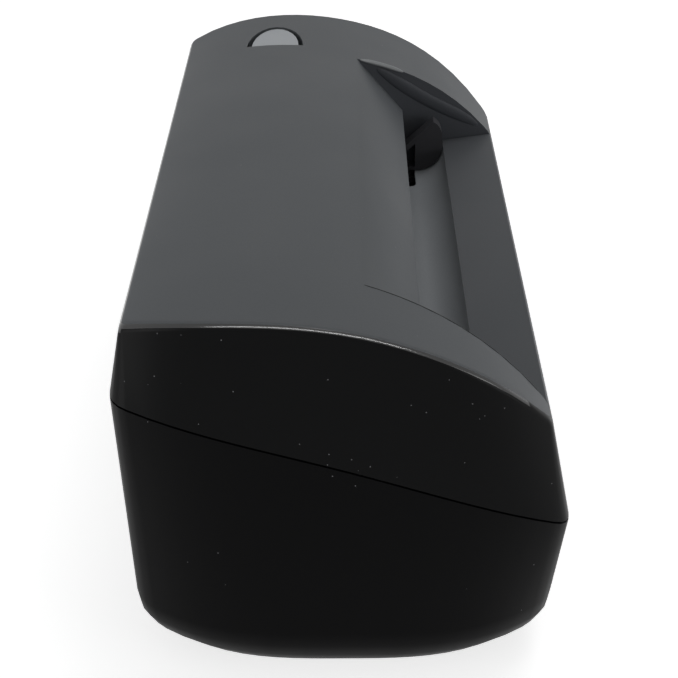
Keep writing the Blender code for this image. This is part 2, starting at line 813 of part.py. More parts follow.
def button_well(cover):
    """Four ribs under the skin that keep the button's flange straight."""
    room = BUTTON_FLANGE + GAP
    x0 = BUTTON_FLAT - room
    x1 = BUTTON_FLAT + BUTTON_HOLE_LENGTH + room
    s0 = BUTTON_FRONT - BUTTON_HOLE_HALF - room
    s1 = BUTTON_FRONT + BUTTON_HOLE_HALF + room
    inner = [(x0, s0), (x1, s0), (x1, s1), (x0, s1)]
    w = WELL_WALL
    outer = [(x0 - w, s0 - w), (x1 + w, s0 - w), (x1 + w, s1 + w), (x0 - w, s1 + w)]
    top = BUTTON_LEVEL - WELL_ROOT
    join(cover, plan_prism("well", [outer, inner], top - WELL_DEPTH, top))


def make_cover():
    cover = cover_form("cover")
    hollow = cut(cover_hollow(), bay_prism("bay_block", bay_block_outline(), WALL))
    cut(cover, hollow)
    cut(cover, bay_prism("bay", bay_outline(0, BAY_FLOOR - OVERRUN), 0))
    button_well(cover)
    for x, s in GUIDE_SCREWS:
        foot = GUIDE_TOP + GAP
        top = top_height(s) - TOP_SKIN / 2
        join(cover, rod("boss", "Z", x, s, foot, BOSS_RADIUS, top - foot))
        cut(cover, rod("pilot", "Z", x, s, foot - OVERRUN, SCREW_RADIUS + GAP, OVERRUN + SCREW_LENGTH))
    for x0, x1 in EARS:
        low = (x0, EAR_BACK, EAR_TOP - EAR_THICKNESS)
        join(cover, box("ear", low, (x1, EAR_FRONT, EAR_TOP)))
    hole = arch(BUTTON_FLAT, BUTTON_FRONT, BUTTON_HOLE_LENGTH, BUTTON_HOLE_HALF)
    cut(cover, plan_prism("button_hole", [hole], BUTTON_LEVEL - WELL_DEPTH / 2, FORM_TOP))
    for x in TRAY_SCREW_PLACES:
        low = EAR_TOP - OVERRUN
        cut(cover, rod("ear_hole", "Z", x, TRAY_SCREW_FRONT, low, SCREW_RADIUS + GAP, 2 * OVERRUN))
    hinge_cover(cover)
    return part(cover, "upper_cover", "top_grey")


EAR_ROOT = BAY_SPLAY_SHARE * (EAR_FRONT - BEND_FRONT) + WALL / 2
EARS = ((-BAY_LEFT - EAR_ROOT, EAR_LENGTH - BAY_LEFT), (BAY_RIGHT - EAR_LENGTH, BAY_RIGHT + EAR_ROOT))
TRAY_SCREW_PLACES = (EAR_LENGTH / 2 - BAY_LEFT, BAY_RIGHT - EAR_LENGTH / 2)
TRAY_SCREW_FRONT = (EAR_BACK + EAR_FRONT) / 2


def arc_points(radius, start, end, steps):
    """Points on an arc about the scoop's centre."""
    turns = [start + (end - start) * i / steps for i in range(steps + 1)]
    high = TROUGH + SCOOP_RADIUS
    return [(SCOOP_FRONT + radius * math.cos(t), high + radius * math.sin(t)) for t in turns]


def tray_outline():
    deck_back = TOP_LEVEL - DECK_BACK_DROP
    rise = (DECK_BACK_DROP - DECK_FRONT_DROP) / (DECK_FRONT - SCOOP_FRONT - SCOOP_RADIUS)
    last = math.asin((deck_back - TROUGH - SCOOP_RADIUS) / SCOOP_RADIUS)
    bottom = -math.pi / 2
    outer = SCOOP_RADIUS + TRAY_THICKNESS
    under = deck_back - TRAY_THICKNESS
    outer_last = math.asin((under - TROUGH - SCOOP_RADIUS) / outer)
    deck_front = TOP_LEVEL - DECK_FRONT_DROP + rise * (FORM_FRONT - DECK_FRONT)
    outline = [(TRAY_BACK, TROUGH)]
    outline += arc_points(SCOOP_RADIUS, bottom, last, SCOOP_STEPS)
    outline += [(FORM_FRONT, deck_front), (FORM_FRONT, SKIRT_FOOT), (SKIRT_FRONT, SKIRT_FOOT)]
    outline += [(SKIRT_FRONT, under)]
    outline += arc_points(outer, outer_last, bottom, SCOOP_STEPS)
    outline += [(TRAY_BACK, TROUGH - TRAY_THICKNESS)]
    return outline


def slot_outline(x0, x1, front, width):
    """A round-ended slot along X, in plan."""
    radius = width / 2
    turns = [math.pi * i / ARCH_STEPS - math.pi / 2 for i in range(ARCH_STEPS + 1)]
    far = [(x1 - radius + radius * math.cos(t), front + radius * math.sin(t)) for t in turns]
    near = [(x0 + radius - radius * math.cos(t), front - radius * math.sin(t)) for t in turns]
    return far + near


def make_tray():
    tray = bay_prism("tray", tray_outline(), -GAP)
    boolean(tray, cover_form("tray_front"), "INTERSECT")
    for x in TRAY_SCREW_PLACES:
        foot = EAR_TOP + GAP
        top = TOP_LEVEL - DECK_BACK_DROP - TRAY_THICKNESS / 2
        join(tray, rod("tray_boss", "Z", x, TRAY_SCREW_FRONT, foot, BOSS_RADIUS, top - foot))
        depth = top - foot - TRAY_THICKNESS / 4
        cut(tray, rod("tray_pilot", "Z", x, TRAY_SCREW_FRONT, foot - OVERRUN, SCREW_RADIUS + GAP,
                      OVERRUN + depth))
    track = slot_outline(TRACK_LEFT, TRACK_RIGHT, TRACK_FRONT, TRACK_WIDTH)
    cut(tray, plan_prism("track", [track], TROUGH - OVERRUN, TROUGH + GUIDE_FOOT_DEPTH))
    return part(tray, "feed_tray", "tray_grey")


GUIDE_STEM_RADIUS = TRACK_WIDTH / 2 - GAP
GUIDE_X = TRACK_RIGHT - TRACK_WIDTH / 2


def fence_outline():
    """The fence's side view: a round belly in the scoop, a nose, and a sloping blade over an open back."""
    radius = SCOOP_RADIUS - GAP
    middle = TROUGH + SCOOP_RADIUS
    tip = (SCOOP_FRONT + GUIDE_TIP_FRONT, middle + GUIDE_TIP_RISE)
    nose = (SCOOP_FRONT + radius, middle), (SCOOP_FRONT + SCOOP_RADIUS, middle + GUIDE_NOSE_RISE), tip
    heel = SCOOP_FRONT - GUIDE_HEEL_BACK
    toe = SCOOP_FRONT - GUIDE_TOE_BACK
    slope = math.tan(GUIDE_CHORD_ANGLE)
    blade = GUIDE_BLADE / math.cos(GUIDE_CHORD_ANGLE)
    toe_blade = tip[1] - slope * (tip[0] - toe)
    heel_blade = tip[1] - slope * (tip[0] - heel)
    floor = TROUGH + GAP
    toe_top = floor + GUIDE_TOE_THICKNESS
    outline = arc_points(radius, -math.pi / 2, 0, SCOOP_STEPS)
    outline += [tuple(bezier(nose, i / GUIDE_NOSE_STEPS)) for i in range(1, GUIDE_NOSE_STEPS + 1)]
    outline += [(toe, toe_blade), (toe, toe_blade - blade), (heel, heel_blade - blade)]
    outline += [(heel, toe_top), (toe, toe_top), (toe, floor)]
    return outline


def make_edge_guide():
    """The fence that stands in the trough, with a stem through the track and a foot below."""
    x0 = GUIDE_X + FENCE_SHIFT - GUIDE_THICKNESS / 2
    fence = side_prism("fence", [fence_outline()], x0, x0 + GUIDE_THICKNESS)
    foot_top = TROUGH - TRAY_THICKNESS - GAP
    stem_top = TROUGH + GAP + GUIDE_TOE_THICKNESS / 2
    stem_foot = foot_top - GUIDE_FOOT_THICKNESS / 2
    stem = rod("stem", "Z", GUIDE_X, TRACK_FRONT, stem_foot, GUIDE_STEM_RADIUS, stem_top - stem_foot)
    half = GUIDE_FOOT_DEPTH / 2
    low = (GUIDE_X - GUIDE_FOOT_HALF, TRACK_FRONT - half, foot_top - GUIDE_FOOT_THICKNESS)
    foot = box("guide_foot", low, (GUIDE_X + GUIDE_FOOT_HALF, TRACK_FRONT + half, foot_top))
    join(fence, stem, foot)
    return part(fence, "edge_guide", "dark_plastic")


FLANGE_TOP = BUTTON_LEVEL - BUTTON_CAP_DROP - GAP
STEM_X = BUTTON_FLAT + BUTTON_STEM_OFFSET


def make_button():
    cap_plan = arch(BUTTON_FLAT + GAP, BUTTON_FRONT, BUTTON_CAP_LENGTH - GAP, BUTTON_CAP_HALF)
    cap = plan_prism("cap", [cap_plan], BUTTON_LEVEL - BUTTON_CAP_DROP, FORM_TOP)
    form = cover_form("button_form", 1)
    form.location.z = -BUTTON_SINK
    boolean(cap, form, "INTERSECT")
    part(cap, "button_cap", "button_grey")
    grow = BUTTON_FLANGE
    low = (BUTTON_FLAT - grow, BUTTON_FRONT - BUTTON_HOLE_HALF - grow, FLANGE_TOP - BUTTON_FLANGE_THICKNESS)
    high = (BUTTON_FLAT + BUTTON_HOLE_LENGTH + grow, BUTTON_FRONT + BUTTON_HOLE_HALF + grow, FLANGE_TOP)
    carrier = box("carrier", low, high)
    length = FLANGE_TOP - BUTTON_FLANGE_THICKNESS / 2 - STEM_FOOT
    join(carrier, rod("stem", "Z", STEM_X, BUTTON_FRONT, STEM_FOOT, BUTTON_STEM_RADIUS, length))
    return cap, part(carrier, "button_stem", "black_plastic")


def make_case():
    case = loft("case", case_rings(0, -SEAM_GAP / 2, BOTTOM_STEPS))
    cut(case, loft("case_hollow", case_rings(WALL, OVERRUN, INNER_STEPS)))
    exit_low = (-ROLL_LEFT - EXIT_MARGIN, -FORM_FRONT, PATH - EXIT_BELOW)
    exit_high = (ROLL_RIGHT + EXIT_MARGIN, -LOW_BACK + OVERRUN / 2, PATH + EXIT_ABOVE)
    cut(case, box("exit_slot", exit_low, exit_high))
    socket_low = (SOCKET_PLACE - SOCKET_WIDTH / 2 - GAP, -FORM_FRONT, SOCKET_FOOT - GAP)
    socket_high = (SOCKET_PLACE + SOCKET_WIDTH / 2 + GAP, -LOW_BACK + OVERRUN / 2,
                   SOCKET_FOOT + SOCKET_HEIGHT + GAP)
    cut(case, box("socket_hole", socket_low, socket_high))
    for x, s in CASE_SCREWS:
        cut(case, rod("screw_hole", "Z", x, s, BASE - OVERRUN, SCREW_RADIUS + GAP, 2 * OVERRUN))
        head = rod("head_seat", "Z", x, s, BASE - OVERRUN, SCREW_HEAD_RADIUS + GAP,
                   OVERRUN + WALL / 2)
        cut(case, head)
    for x, s in FOOT_PLACES:
        cut(case, rod("foot_seat", "Z", x, s, BASE - OVERRUN, FOOT_RADIUS + GAP,
                      OVERRUN + FOOT_THICKNESS - FOOT_STAND + GAP, ROLLER_SIDES))
    hinge_case(case)
    return part(case, "lower_case", "black_plastic")


CASE_SCREWS = [(-CASE_BOSS_PLACE, CASE_BOSS_BACK), (CASE_BOSS_PLACE, CASE_BOSS_BACK),
               (-CASE_BOSS_PLACE, CASE_BOSS_FRONT), (CASE_BOSS_RIGHT, CASE_BOSS_FRONT)]
FOOT_PLACES = [(x, s) for x in (-FOOT_PLACE, FOOT_PLACE) for s in (-FOOT_FRONT, FOOT_FRONT)]
CHASSIS_FOOT = BASE + WALL + GAP
BOARD_FOOT = CHASSIS_FOOT + BOARD_RISE
BOSS_TOP = BOARD_FOOT - GAP
SOCKET_FOOT = BOARD_FOOT + BOARD_THICKNESS + GAP
BED_TOP = PATH - BED_DROP
BED_FOOT = BED_TOP - BED_THICKNESS
ROLL_HEIGHT = PATH - ROLL_RADIUS
PINCH_HEIGHT = PATH + NIP_GAP + PINCH_RADIUS
SENSOR_TOP = BED_TOP - GLASS_THICKNESS - GAP
SENSOR_FOOT = SENSOR_TOP - SENSOR_HEIGHT
SPRING_FOOT = SENSOR_FOOT - SPRING_HEIGHT - 2 * GAP
LEDGE_TOP = SPRING_FOOT - GAP
SPRING_PLACES = (-SENSOR_LEFT + SPRING_INSET, SENSOR_RIGHT - SPRING_INSET)
SHELF_TOP = BED_FOOT + SHELF_RISE
BUTTON_BOARD_FOOT = SHELF_TOP + GAP
SWITCH_FOOT = BUTTON_BOARD_FOOT + BUTTON_BOARD_THICKNESS + GAP
SWITCH_TOP = SWITCH_FOOT + SWITCH_HEIGHT + SWITCH_CAP_HEIGHT
STEM_FOOT = SWITCH_TOP + PRESS_GAP


def pitch_radius(teeth):
    return MODULE * teeth / 2


class Wheel:
    """A gear's place in the side view: world Y, height, teeth and the angle of one tooth."""

    def __init__(self, y, z, teeth, phase):
        self.y = y
        self.z = z
        self.teeth = teeth
        self.phase = phase

    def partner(self, direction, teeth):
        """A meshing gear in a direction, turned so that its gap meets this gear's tooth."""
        reach = pitch_radius(self.teeth) + pitch_radius(teeth)
        lead = (direction - self.phase) * self.teeth / (2 * math.pi)
        phase = direction + math.pi - (1 / 2 - lead) * 2 * math.pi / teeth
        y = self.y + reach * math.cos(direction)
        z = self.z + reach * math.sin(direction)
        return Wheel(y, z, teeth, phase)


FEED_GEAR = Wheel(-FEED_FRONT, ROLL_HEIGHT, ROLL_TEETH, 0.0)
IDLER_GEAR = FEED_GEAR.partner(0.0, IDLER_TEETH)
EXIT_GEAR = IDLER_GEAR.partner(0.0, ROLL_TEETH)
REDUCTION_SMALL = FEED_GEAR.partner(REDUCTION_ANGLE, PINION_TEETH)
REDUCTION_LARGE = Wheel(REDUCTION_SMALL.y, REDUCTION_SMALL.z, WHEEL_TEETH, 0.0)
MOTOR_PINION = REDUCTION_LARGE.partner(MOTOR_ANGLE, PINION_TEETH)


def tooth_outline(wheel):
    """Teeth with straight flanks, as (world Y, height) points."""
    tip = pitch_radius(wheel.teeth) + TOOTH_TIP_MODULES_SHARE * MODULE
    root = pitch_radius(wheel.teeth) - TOOTH_ROOT_MODULES_SHARE * MODULE
    pitch = 2 * math.pi / wheel.teeth
    foot = pitch * (TOOTH_WIDTH_SHARE + 1 / 8) / 2
    crest = pitch * TOOTH_TIP_SHARE / 2
    corners = ((-foot, root), (-crest, tip), (crest, tip), (foot, root))
    points = []
    for i in range(wheel.teeth):
        middle = wheel.phase + pitch * i
        for turn, radius in corners:
            angle = middle + turn
            points.append((wheel.y + radius * math.cos(angle), wheel.z + radius * math.sin(angle)))
    return points


def gear(name, wheel, x0, width, bore):
    outlines = [tooth_outline(wheel)]
    if bore:
        outlines.append(circle((wheel.y, wheel.z), bore))
    middle = Matrix.Translation((x0 + width / 2, 0, 0))
    return outline_solid(name, outlines, width, middle @ SIDEWAYS)


def make_gears():
    bore = SHAFT_RADIUS + GAP
    pin_bore = GEAR_PIN_RADIUS + GAP
    part(gear("feed", FEED_GEAR, GEAR_LEFT, GEAR_WIDTH, bore), "feed_gear", "gear_white")
    part(gear("exit", EXIT_GEAR, GEAR_LEFT, GEAR_WIDTH, bore), "exit_gear", "gear_white")
    part(gear("idler", IDLER_GEAR, GEAR_LEFT, GEAR_WIDTH, pin_bore), "idler_gear", "gear_white")
    small_width = WHEEL_LEFT + WHEEL_WIDTH / 2 - GEAR_LEFT
    small = gear("small", REDUCTION_SMALL, GEAR_LEFT, small_width, 0)
    large = gear("large", REDUCTION_LARGE, WHEEL_LEFT, WHEEL_WIDTH, 0)
    join(large, small)
    front = -REDUCTION_LARGE.y
    hole = rod("bore", "X", GEAR_LEFT - OVERRUN, front, REDUCTION_LARGE.z, pin_bore, 3 * OVERRUN)
    part(cut(large, hole), "reduction_gear", "gear_white")
    for name, wheel in (("idler_pin", IDLER_GEAR), ("reduction_pin", REDUCTION_LARGE)):
        right = GEAR_PIN_RIGHT if wheel is REDUCTION_LARGE else SHAFT_RIGHT
        length = right - CHASSIS_RIGHT
        pin = rod(name, "X", CHASSIS_RIGHT, -wheel.y, wheel.z, GEAR_PIN_RADIUS, length)
        part(pin, name, "steel")
    pinion = gear("pinion", MOTOR_PINION, WHEEL_LEFT, WHEEL_WIDTH, MOTOR_SHAFT_RADIUS + GAP)
    part(pinion, "motor_pinion", "brass")


def make_drive_roller(kind, front):
    x0 = -SHAFT_LEFT
    shaft = rod(kind, "X", x0, front, ROLL_HEIGHT, SHAFT_RADIUS, SHAFT_LEFT + SHAFT_RIGHT)
    part(shaft, kind + "_shaft", "steel")
    sleeve = tube(kind, -ROLL_LEFT, front, ROLL_HEIGHT, ROLL_RADIUS, SHAFT_RADIUS + GAP,
                  ROLL_LEFT + ROLL_RIGHT)
    part(sleeve, kind + "_roll", "rubber")
    bore = SHAFT_RADIUS + GAP
    length = SIDE_THICKNESS + BUSH_FLANGE + GAP
    near_flange = [(BUSH_RADIUS, length), (BUSH_RADIUS, BUSH_FLANGE), (BUSH_FLANGE_RADIUS, BUSH_FLANGE),
                   (BUSH_FLANGE_RADIUS, 0), (bore, 0), (bore, length)]
    far_flange = [(BUSH_FLANGE_RADIUS, length), (BUSH_FLANGE_RADIUS, length - BUSH_FLANGE),
                  (BUSH_RADIUS, length - BUSH_FLANGE), (BUSH_RADIUS, 0), (bore, 0), (bore, length)]
    bush = turned(kind, near_flange, -CHASSIS_LEFT - length, front, ROLL_HEIGHT, SMALL_SIDES)
    part(bush, kind + "_bush_left", "white_plastic")
    bush = turned(kind, far_flange, CHASSIS_RIGHT, front, ROLL_HEIGHT, SMALL_SIDES)
    part(bush, kind + "_bush_right", "white_plastic")


def make_pinch_roller(kind, front):
    """One turned piece: a roller between two journals."""
    start = CHEEK
    end = start + PINCH_LEFT + PINCH_RIGHT
    total = end + CHEEK
    profile = [(0, total), (PINCH_JOURNAL, total), (PINCH_JOURNAL, end), (PINCH_RADIUS, end),
               (PINCH_RADIUS, start), (PINCH_JOURNAL, start), (PINCH_JOURNAL, 0), (0, 0)]
    roller = turned(kind, profile, -PINCH_LEFT - CHEEK, front, PINCH_HEIGHT, SMALL_SIDES)
    part(roller, kind + "_pinch_roller", "white_plastic")


def window(name, front, half, left, right, foot, top):
    """A cutter through the bed or the upper guide."""
    return box(name, (-left, front - half, foot), (right, front + half, top))


def roll_half(height_below, radius):
    """Half the width that a roller needs where it passes a plate."""
    return math.sqrt(radius ** 2 - height_below ** 2) + 2 * GAP


def make_bed():
    bed = box("bed", (-BED_LEFT, -BED_BACK, BED_FOOT), (BED_RIGHT, BED_FRONT, BED_TOP))
    half = roll_half(BED_FOOT - ROLL_HEIGHT, ROLL_RADIUS)
    reach = BED_FOOT - OVERRUN, BED_TOP + OVERRUN
    for front in (FEED_FRONT, EXIT_FRONT):
        cut(bed, window("roll_window", front, half, ROLL_LEFT + GAP, ROLL_RIGHT + GAP, *reach))
    cut(bed, window("sensor_window", SENSOR_FRONT, SENSOR_HALF + GAP, SENSOR_LEFT + GAP,
                    SENSOR_RIGHT + GAP, *reach))
    slot = FLAG_WIDTH / 2 + 2 * GAP
    near = (FLAG_PLACE - slot, FLAG_FRONT - FLAG_SWEEP, reach[0])
    cut(bed, box("flag_slot", near, (FLAG_PLACE + slot, BED_FRONT - 2 * GAP, reach[1])))
    for side in (-1, 1):
        inner = FLAG_PLACE + side * (FLAG_AXLE_LENGTH / 2 - FLAG_EAR)
        x0, x1 = sorted((inner, inner + side * FLAG_EAR))
        drop = FLAG_AXLE_HEIGHT - FLAG_EAR_RADIUS
        low = (x0, FLAG_FRONT - FLAG_EAR_RADIUS, drop)
        join(bed, box("flag_ear", low, (x1, FLAG_FRONT + FLAG_ARM, BED_FOOT + GAP)))
        hole = rod("flag_hole", "X", x0 - GAP, FLAG_FRONT, FLAG_AXLE_HEIGHT, FLAG_AXLE_RADIUS + GAP,
                   FLAG_EAR + 2 * GAP)
        cut(bed, hole)
    return part(bed, "paper_bed", "black_plastic")


FLAG_AXLE_HEIGHT = BED_FOOT - FLAG_DROP / 2
OPTO_FOOT = FLAG_AXLE_HEIGHT - FLAG_TAIL - OPTO_HEIGHT * 2 / 3


def make_flag():
    """A lever on an axle: its tip stands in the paper's way, its tail hangs in the sensor."""
    axle = rod("axle", "X", FLAG_PLACE - FLAG_AXLE_LENGTH / 2, FLAG_FRONT, FLAG_AXLE_HEIGHT,
               FLAG_AXLE_RADIUS, FLAG_AXLE_LENGTH)
    half = FLAG_WIDTH / 2
    x0 = FLAG_PLACE - half
    x1 = FLAG_PLACE + half
    back = FLAG_FRONT - FLAG_ARM / 2
    front = FLAG_FRONT + FLAG_ARM / 2
    tip = box("tip", (x0, back, FLAG_AXLE_HEIGHT), (x1, front, PATH + FLAG_TIP_RISE))
    thin = FLAG_WIDTH * 3 / 8
    tail_foot = (FLAG_PLACE - thin, back, FLAG_AXLE_HEIGHT - FLAG_TAIL)
    tail = box("tail", tail_foot, (FLAG_PLACE + thin, front, FLAG_AXLE_HEIGHT))
    hub = rod("hub", "X", x0, FLAG_FRONT, FLAG_AXLE_HEIGHT, FLAG_AXLE_RADIUS + FLAG_ARM / 2, FLAG_WIDTH)
    join(axle, hub, tip, tail)
    return part(axle, "paper_flag", "black_plastic")


def make_flag_sensor():
    """A forked light gate carried by the chassis wall."""
    top = OPTO_FOOT + OPTO_HEIGHT
    half = OPTO_GAP / 2 + OPTO_WALL
    low = (FLAG_PLACE - half, FLAG_FRONT - OPTO_DEPTH / 2, OPTO_FOOT)
    high = (FLAG_PLACE + half, FLAG_FRONT + OPTO_DEPTH / 2, top)
    fork = box("fork", low, high)
    gap_low = (FLAG_PLACE - OPTO_GAP / 2, FLAG_FRONT - OPTO_DEPTH, OPTO_FOOT + OPTO_WALL)
    gap_high = (FLAG_PLACE + OPTO_GAP / 2, FLAG_FRONT + OPTO_DEPTH, top + OPTO_DEPTH)
    return part(cut(fork, box("fork_gap", gap_low, gap_high)), "flag_sensor", "dark_plastic")


def make_sensor():
    housing = box("housing", (-SENSOR_LEFT, SENSOR_FRONT - SENSOR_HALF, SENSOR_FOOT),
                  (SENSOR_RIGHT, SENSOR_FRONT + SENSOR_HALF, SENSOR_TOP))
    part(housing, "sensor_housing", "black_plastic")
    inset = GLASS_INSET
    glass = box("glass", (-SENSOR_LEFT + inset, SENSOR_FRONT - SENSOR_HALF + inset, SENSOR_TOP + GAP),
                (SENSOR_RIGHT - inset, SENSOR_FRONT + SENSOR_HALF - inset, BED_TOP))
    part(glass, "sensor_glass", "glass")
    for x, name in zip(SPRING_PLACES, ("sensor_spring_left", "sensor_spring_right")):
        make_spring(name, x)


def make_spring(name, x):
    """A coil with a point every few degrees and filled ends."""
    curve = bpy.data.curves.new(name, "CURVE")
    curve.dimensions = "3D"
    curve.bevel_depth = SPRING_WIRE
    curve.bevel_resolution = 1
    curve.use_fill_caps = True
    spline = curve.splines.new("POLY")
    count = SPRING_TURNS * SPRING_POINTS
    spline.points.add(count)
    for i, point in enumerate(spline.points):
        turn = 2 * math.pi * i / SPRING_POINTS
        rise = SPRING_WIRE + (SPRING_HEIGHT - 2 * SPRING_WIRE) * i / count
        point.co = (SPRING_RADIUS * math.cos(turn), SPRING_RADIUS * math.sin(turn), rise, 1)
    obj = bpy.data.objects.new(name, curve)
    obj.location = (x, -SENSOR_FRONT, SPRING_FOOT)
    PARTS.objects.link(obj)
    curve.materials.append(material("steel"))


def side_wall(x0):
    """One side of the chassis, stepped clear of the round floor and bevelled clear of the tray."""
    step = CHASSIS_FOOT + SIDE_STEP_HEIGHT
    back = -SIDE_FOOT_BACK
    outline = [(back, CHASSIS_FOOT), (CHASSIS_FRONT, CHASSIS_FOOT), (CHASSIS_FRONT, BED_TOP - SIDE_BEVEL),
               (CHASSIS_FRONT - SIDE_BEVEL, BED_TOP), (-SIDE_BACK, BED_TOP), (-SIDE_BACK, step), (back, step)]
    return side_prism("side", [outline], x0, x0 + SIDE_THICKNESS)


def make_chassis():
    left = -CHASSIS_LEFT - SIDE_THICKNESS
    inner = SIDE_THICKNESS / 2
    x0 = left + inner
    x1 = CHASSIS_RIGHT + inner
    taper = CHASSIS_BACK - SIDE_FOOT_BACK
    floor = [(x0, CHASSIS_FRONT - inner), (x1, CHASSIS_FRONT - inner), (x1, -SIDE_FOOT_BACK),
             (x1 - taper, -CHASSIS_BACK), (x0 + taper, -CHASSIS_BACK), (x0, -SIDE_FOOT_BACK)]
    chassis = plan_prism("chassis", [floor], CHASSIS_FOOT, CHASSIS_FOOT + CHASSIS_FLOOR)
    join(chassis, side_wall(left), side_wall(CHASSIS_RIGHT))
    top = BED_FOOT - GAP
    ledges = ((SENSOR_FRONT - SENSOR_HALF, SENSOR_FRONT + SENSOR_HALF), (BED_FRONT - LEDGE_WIDTH, BED_FRONT))
    for s0, s1 in ledges:
        low = top - LEDGE_THICKNESS
        join(chassis, box("ledge", (left + inner, s0, low), (-CHASSIS_LEFT + LEDGE_WIDTH, s1, top)))
        join(chassis, box("ledge", (CHASSIS_RIGHT - LEDGE_WIDTH, s0, low),
                          (CHASSIS_RIGHT + inner, s1, top)))
    half = SENSOR_LEDGE_HALF
    foot = LEDGE_TOP - SENSOR_LEDGE_THICKNESS
    s0 = SENSOR_FRONT - half
    s1 = SENSOR_FRONT + half
    left_end = SPRING_PLACES[0] + SENSOR_LEDGE_OVER
    right_end = SPRING_PLACES[1] - SENSOR_LEDGE_OVER
    join(chassis, box("sensor_ledge", (x0, s0, foot), (left_end, s1, LEDGE_TOP)))
    join(chassis, box("sensor_ledge", (right_end, s0, foot), (x1, s1, LEDGE_TOP)))
    for x in SPRING_PLACES:
        join(chassis, rod("spring_post", "Z", x, SENSOR_FRONT, LEDGE_TOP - GAP, SPRING_POST_RADIUS,
                          SPRING_POST_HEIGHT))
    for x, s in CASE_SCREWS + [(-CASE_BOSS_PLACE, STANDOFF_FRONT), (CASE_BOSS_PLACE, STANDOFF_FRONT)]:
        start = CHASSIS_FOOT + CHASSIS_FLOOR / 2
        join(chassis, rod("boss", "Z", x, s, start, CASE_BOSS_RADIUS, BOSS_TOP - start))
    for x, s in CASE_SCREWS:
        cut(chassis, rod("pilot", "Z", x, s, CHASSIS_FOOT - OVERRUN, SCREW_RADIUS + GAP,
                         OVERRUN + SCREW_LENGTH))
    shelf_foot = SHELF_TOP - SIDE_THICKNESS / 2
    join(chassis, box("shelf_wall", (CHASSIS_RIGHT, -SHELF_BACK, BED_FOOT),
                      (CHASSIS_RIGHT + SIDE_THICKNESS, SHELF_FRONT, SHELF_TOP)))
    join(chassis, box("shelf", (CHASSIS_RIGHT + inner, -SHELF_BACK, shelf_foot),
                      (SHELF_RIGHT, SHELF_FRONT, SHELF_TOP)))
    opto_ledge = (FLAG_PLACE - OPTO_GAP, FLAG_FRONT - OPTO_DEPTH / 2, OPTO_FOOT - GAP - LEDGE_THICKNESS)
    join(chassis, box("opto_ledge", opto_ledge,
                      (CHASSIS_RIGHT + inner, CHASSIS_FRONT - GAP, OPTO_FOOT - GAP)))
    through = SIDE_THICKNESS + 2 * GAP
    for front in (FEED_FRONT, EXIT_FRONT):
        for x in (left, CHASSIS_RIGHT):
            cut(chassis, rod("bush_hole", "X", x - GAP, front, ROLL_HEIGHT, BUSH_RADIUS + GAP, through))
    right = CHASSIS_RIGHT - GAP
    for wheel in (IDLER_GEAR, REDUCTION_LARGE):
        cut(chassis, rod("pin_hole", "X", right, -wheel.y, wheel.z, GEAR_PIN_RADIUS + GAP, through))
    motor = MOTOR_FRONT, MOTOR_PINION.z
    cut(chassis, rod("motor_hole", "X", right, *motor, MOTOR_BOSS_RADIUS + GAP, through))
    for s, z in MOTOR_EARS:
        cut(chassis, rod("motor_screw_hole", "X", right, s, z, SCREW_RADIUS + GAP, through))
    return part(chassis, "chassis", "dark_plastic")


STANDOFF_FRONT = BOARD_FRONT - CASE_BOSS_RADIUS
MOTOR_FRONT = -MOTOR_PINION.y
MOTOR_EARS = [(MOTOR_FRONT + side * MOTOR_EAR_REACH * math.cos(MOTOR_EAR_ANGLE),
               MOTOR_PINION.z + side * MOTOR_EAR_REACH * math.sin(MOTOR_EAR_ANGLE)) for side in (-1, 1)]


def ear_plate_outline():
    """A round-ended plate through both ears, as (front distance, height) points."""
    points = []
    for (s, z), start in zip(MOTOR_EARS, (MOTOR_EAR_ANGLE + math.pi / 2, MOTOR_EAR_ANGLE - math.pi / 2)):
        for i in range(ARCH_STEPS // 2 + 1):
            turn = start + math.pi * i / (ARCH_STEPS // 2)
            points.append((s + MOTOR_EAR_RADIUS * math.cos(turn), z + MOTOR_EAR_RADIUS * math.sin(turn)))
    return points


def make_motor():
    front = MOTOR_FRONT
    z = MOTOR_PINION.z
    face = CHASSIS_RIGHT - GAP
    body = rod("motor", "X", face - MOTOR_LENGTH, front, z, MOTOR_RADIUS, MOTOR_LENGTH, ROLLER_SIDES)
    join(body, rod("motor_boss", "X", face - MOTOR_BOSS, front, z, MOTOR_BOSS_RADIUS, 2 * MOTOR_BOSS + GAP))
    join(body, side_prism("ears", [ear_plate_outline()], face - MOTOR_EAR_THICKNESS, face))
    for s, ear_z in MOTOR_EARS:
        cut(body, rod("ear_hole", "X", face - MOTOR_LENGTH / 2, s, ear_z, SCREW_RADIUS + GAP, MOTOR_LENGTH))
    hole = rod("shaft_hole", "X", face - MOTOR_LENGTH / 2, front, z, MOTOR_SHAFT_RADIUS + GAP, MOTOR_LENGTH)
    cut(body, hole)
    part(body, "motor_body", "motor_metal")
    start = face - MOTOR_LENGTH / 2 + GAP
    shaft = rod("motor_shaft", "X", start, front, z, MOTOR_SHAFT_RADIUS, GEAR_PIN_RIGHT - start)
    part(shaft, "motor_shaft", "steel")


def screw(name, axis, x, s, z, length):
    """A pan head with a plain shank. Along Z the head is below, along X it is at the start."""
    head = rod(name, axis, x, s, z, SCREW_HEAD_RADIUS, SCREW_HEAD)
    root = SCREW_HEAD / 2
    if axis == "X":
        shank = rod("shank", "X", x + root, s, z, SCREW_RADIUS, length + root)
    else:
        shank = rod("shank", "Z", x, s, z + root, SCREW_RADIUS, length + root)
    return part(join(head, shank), name, "steel")


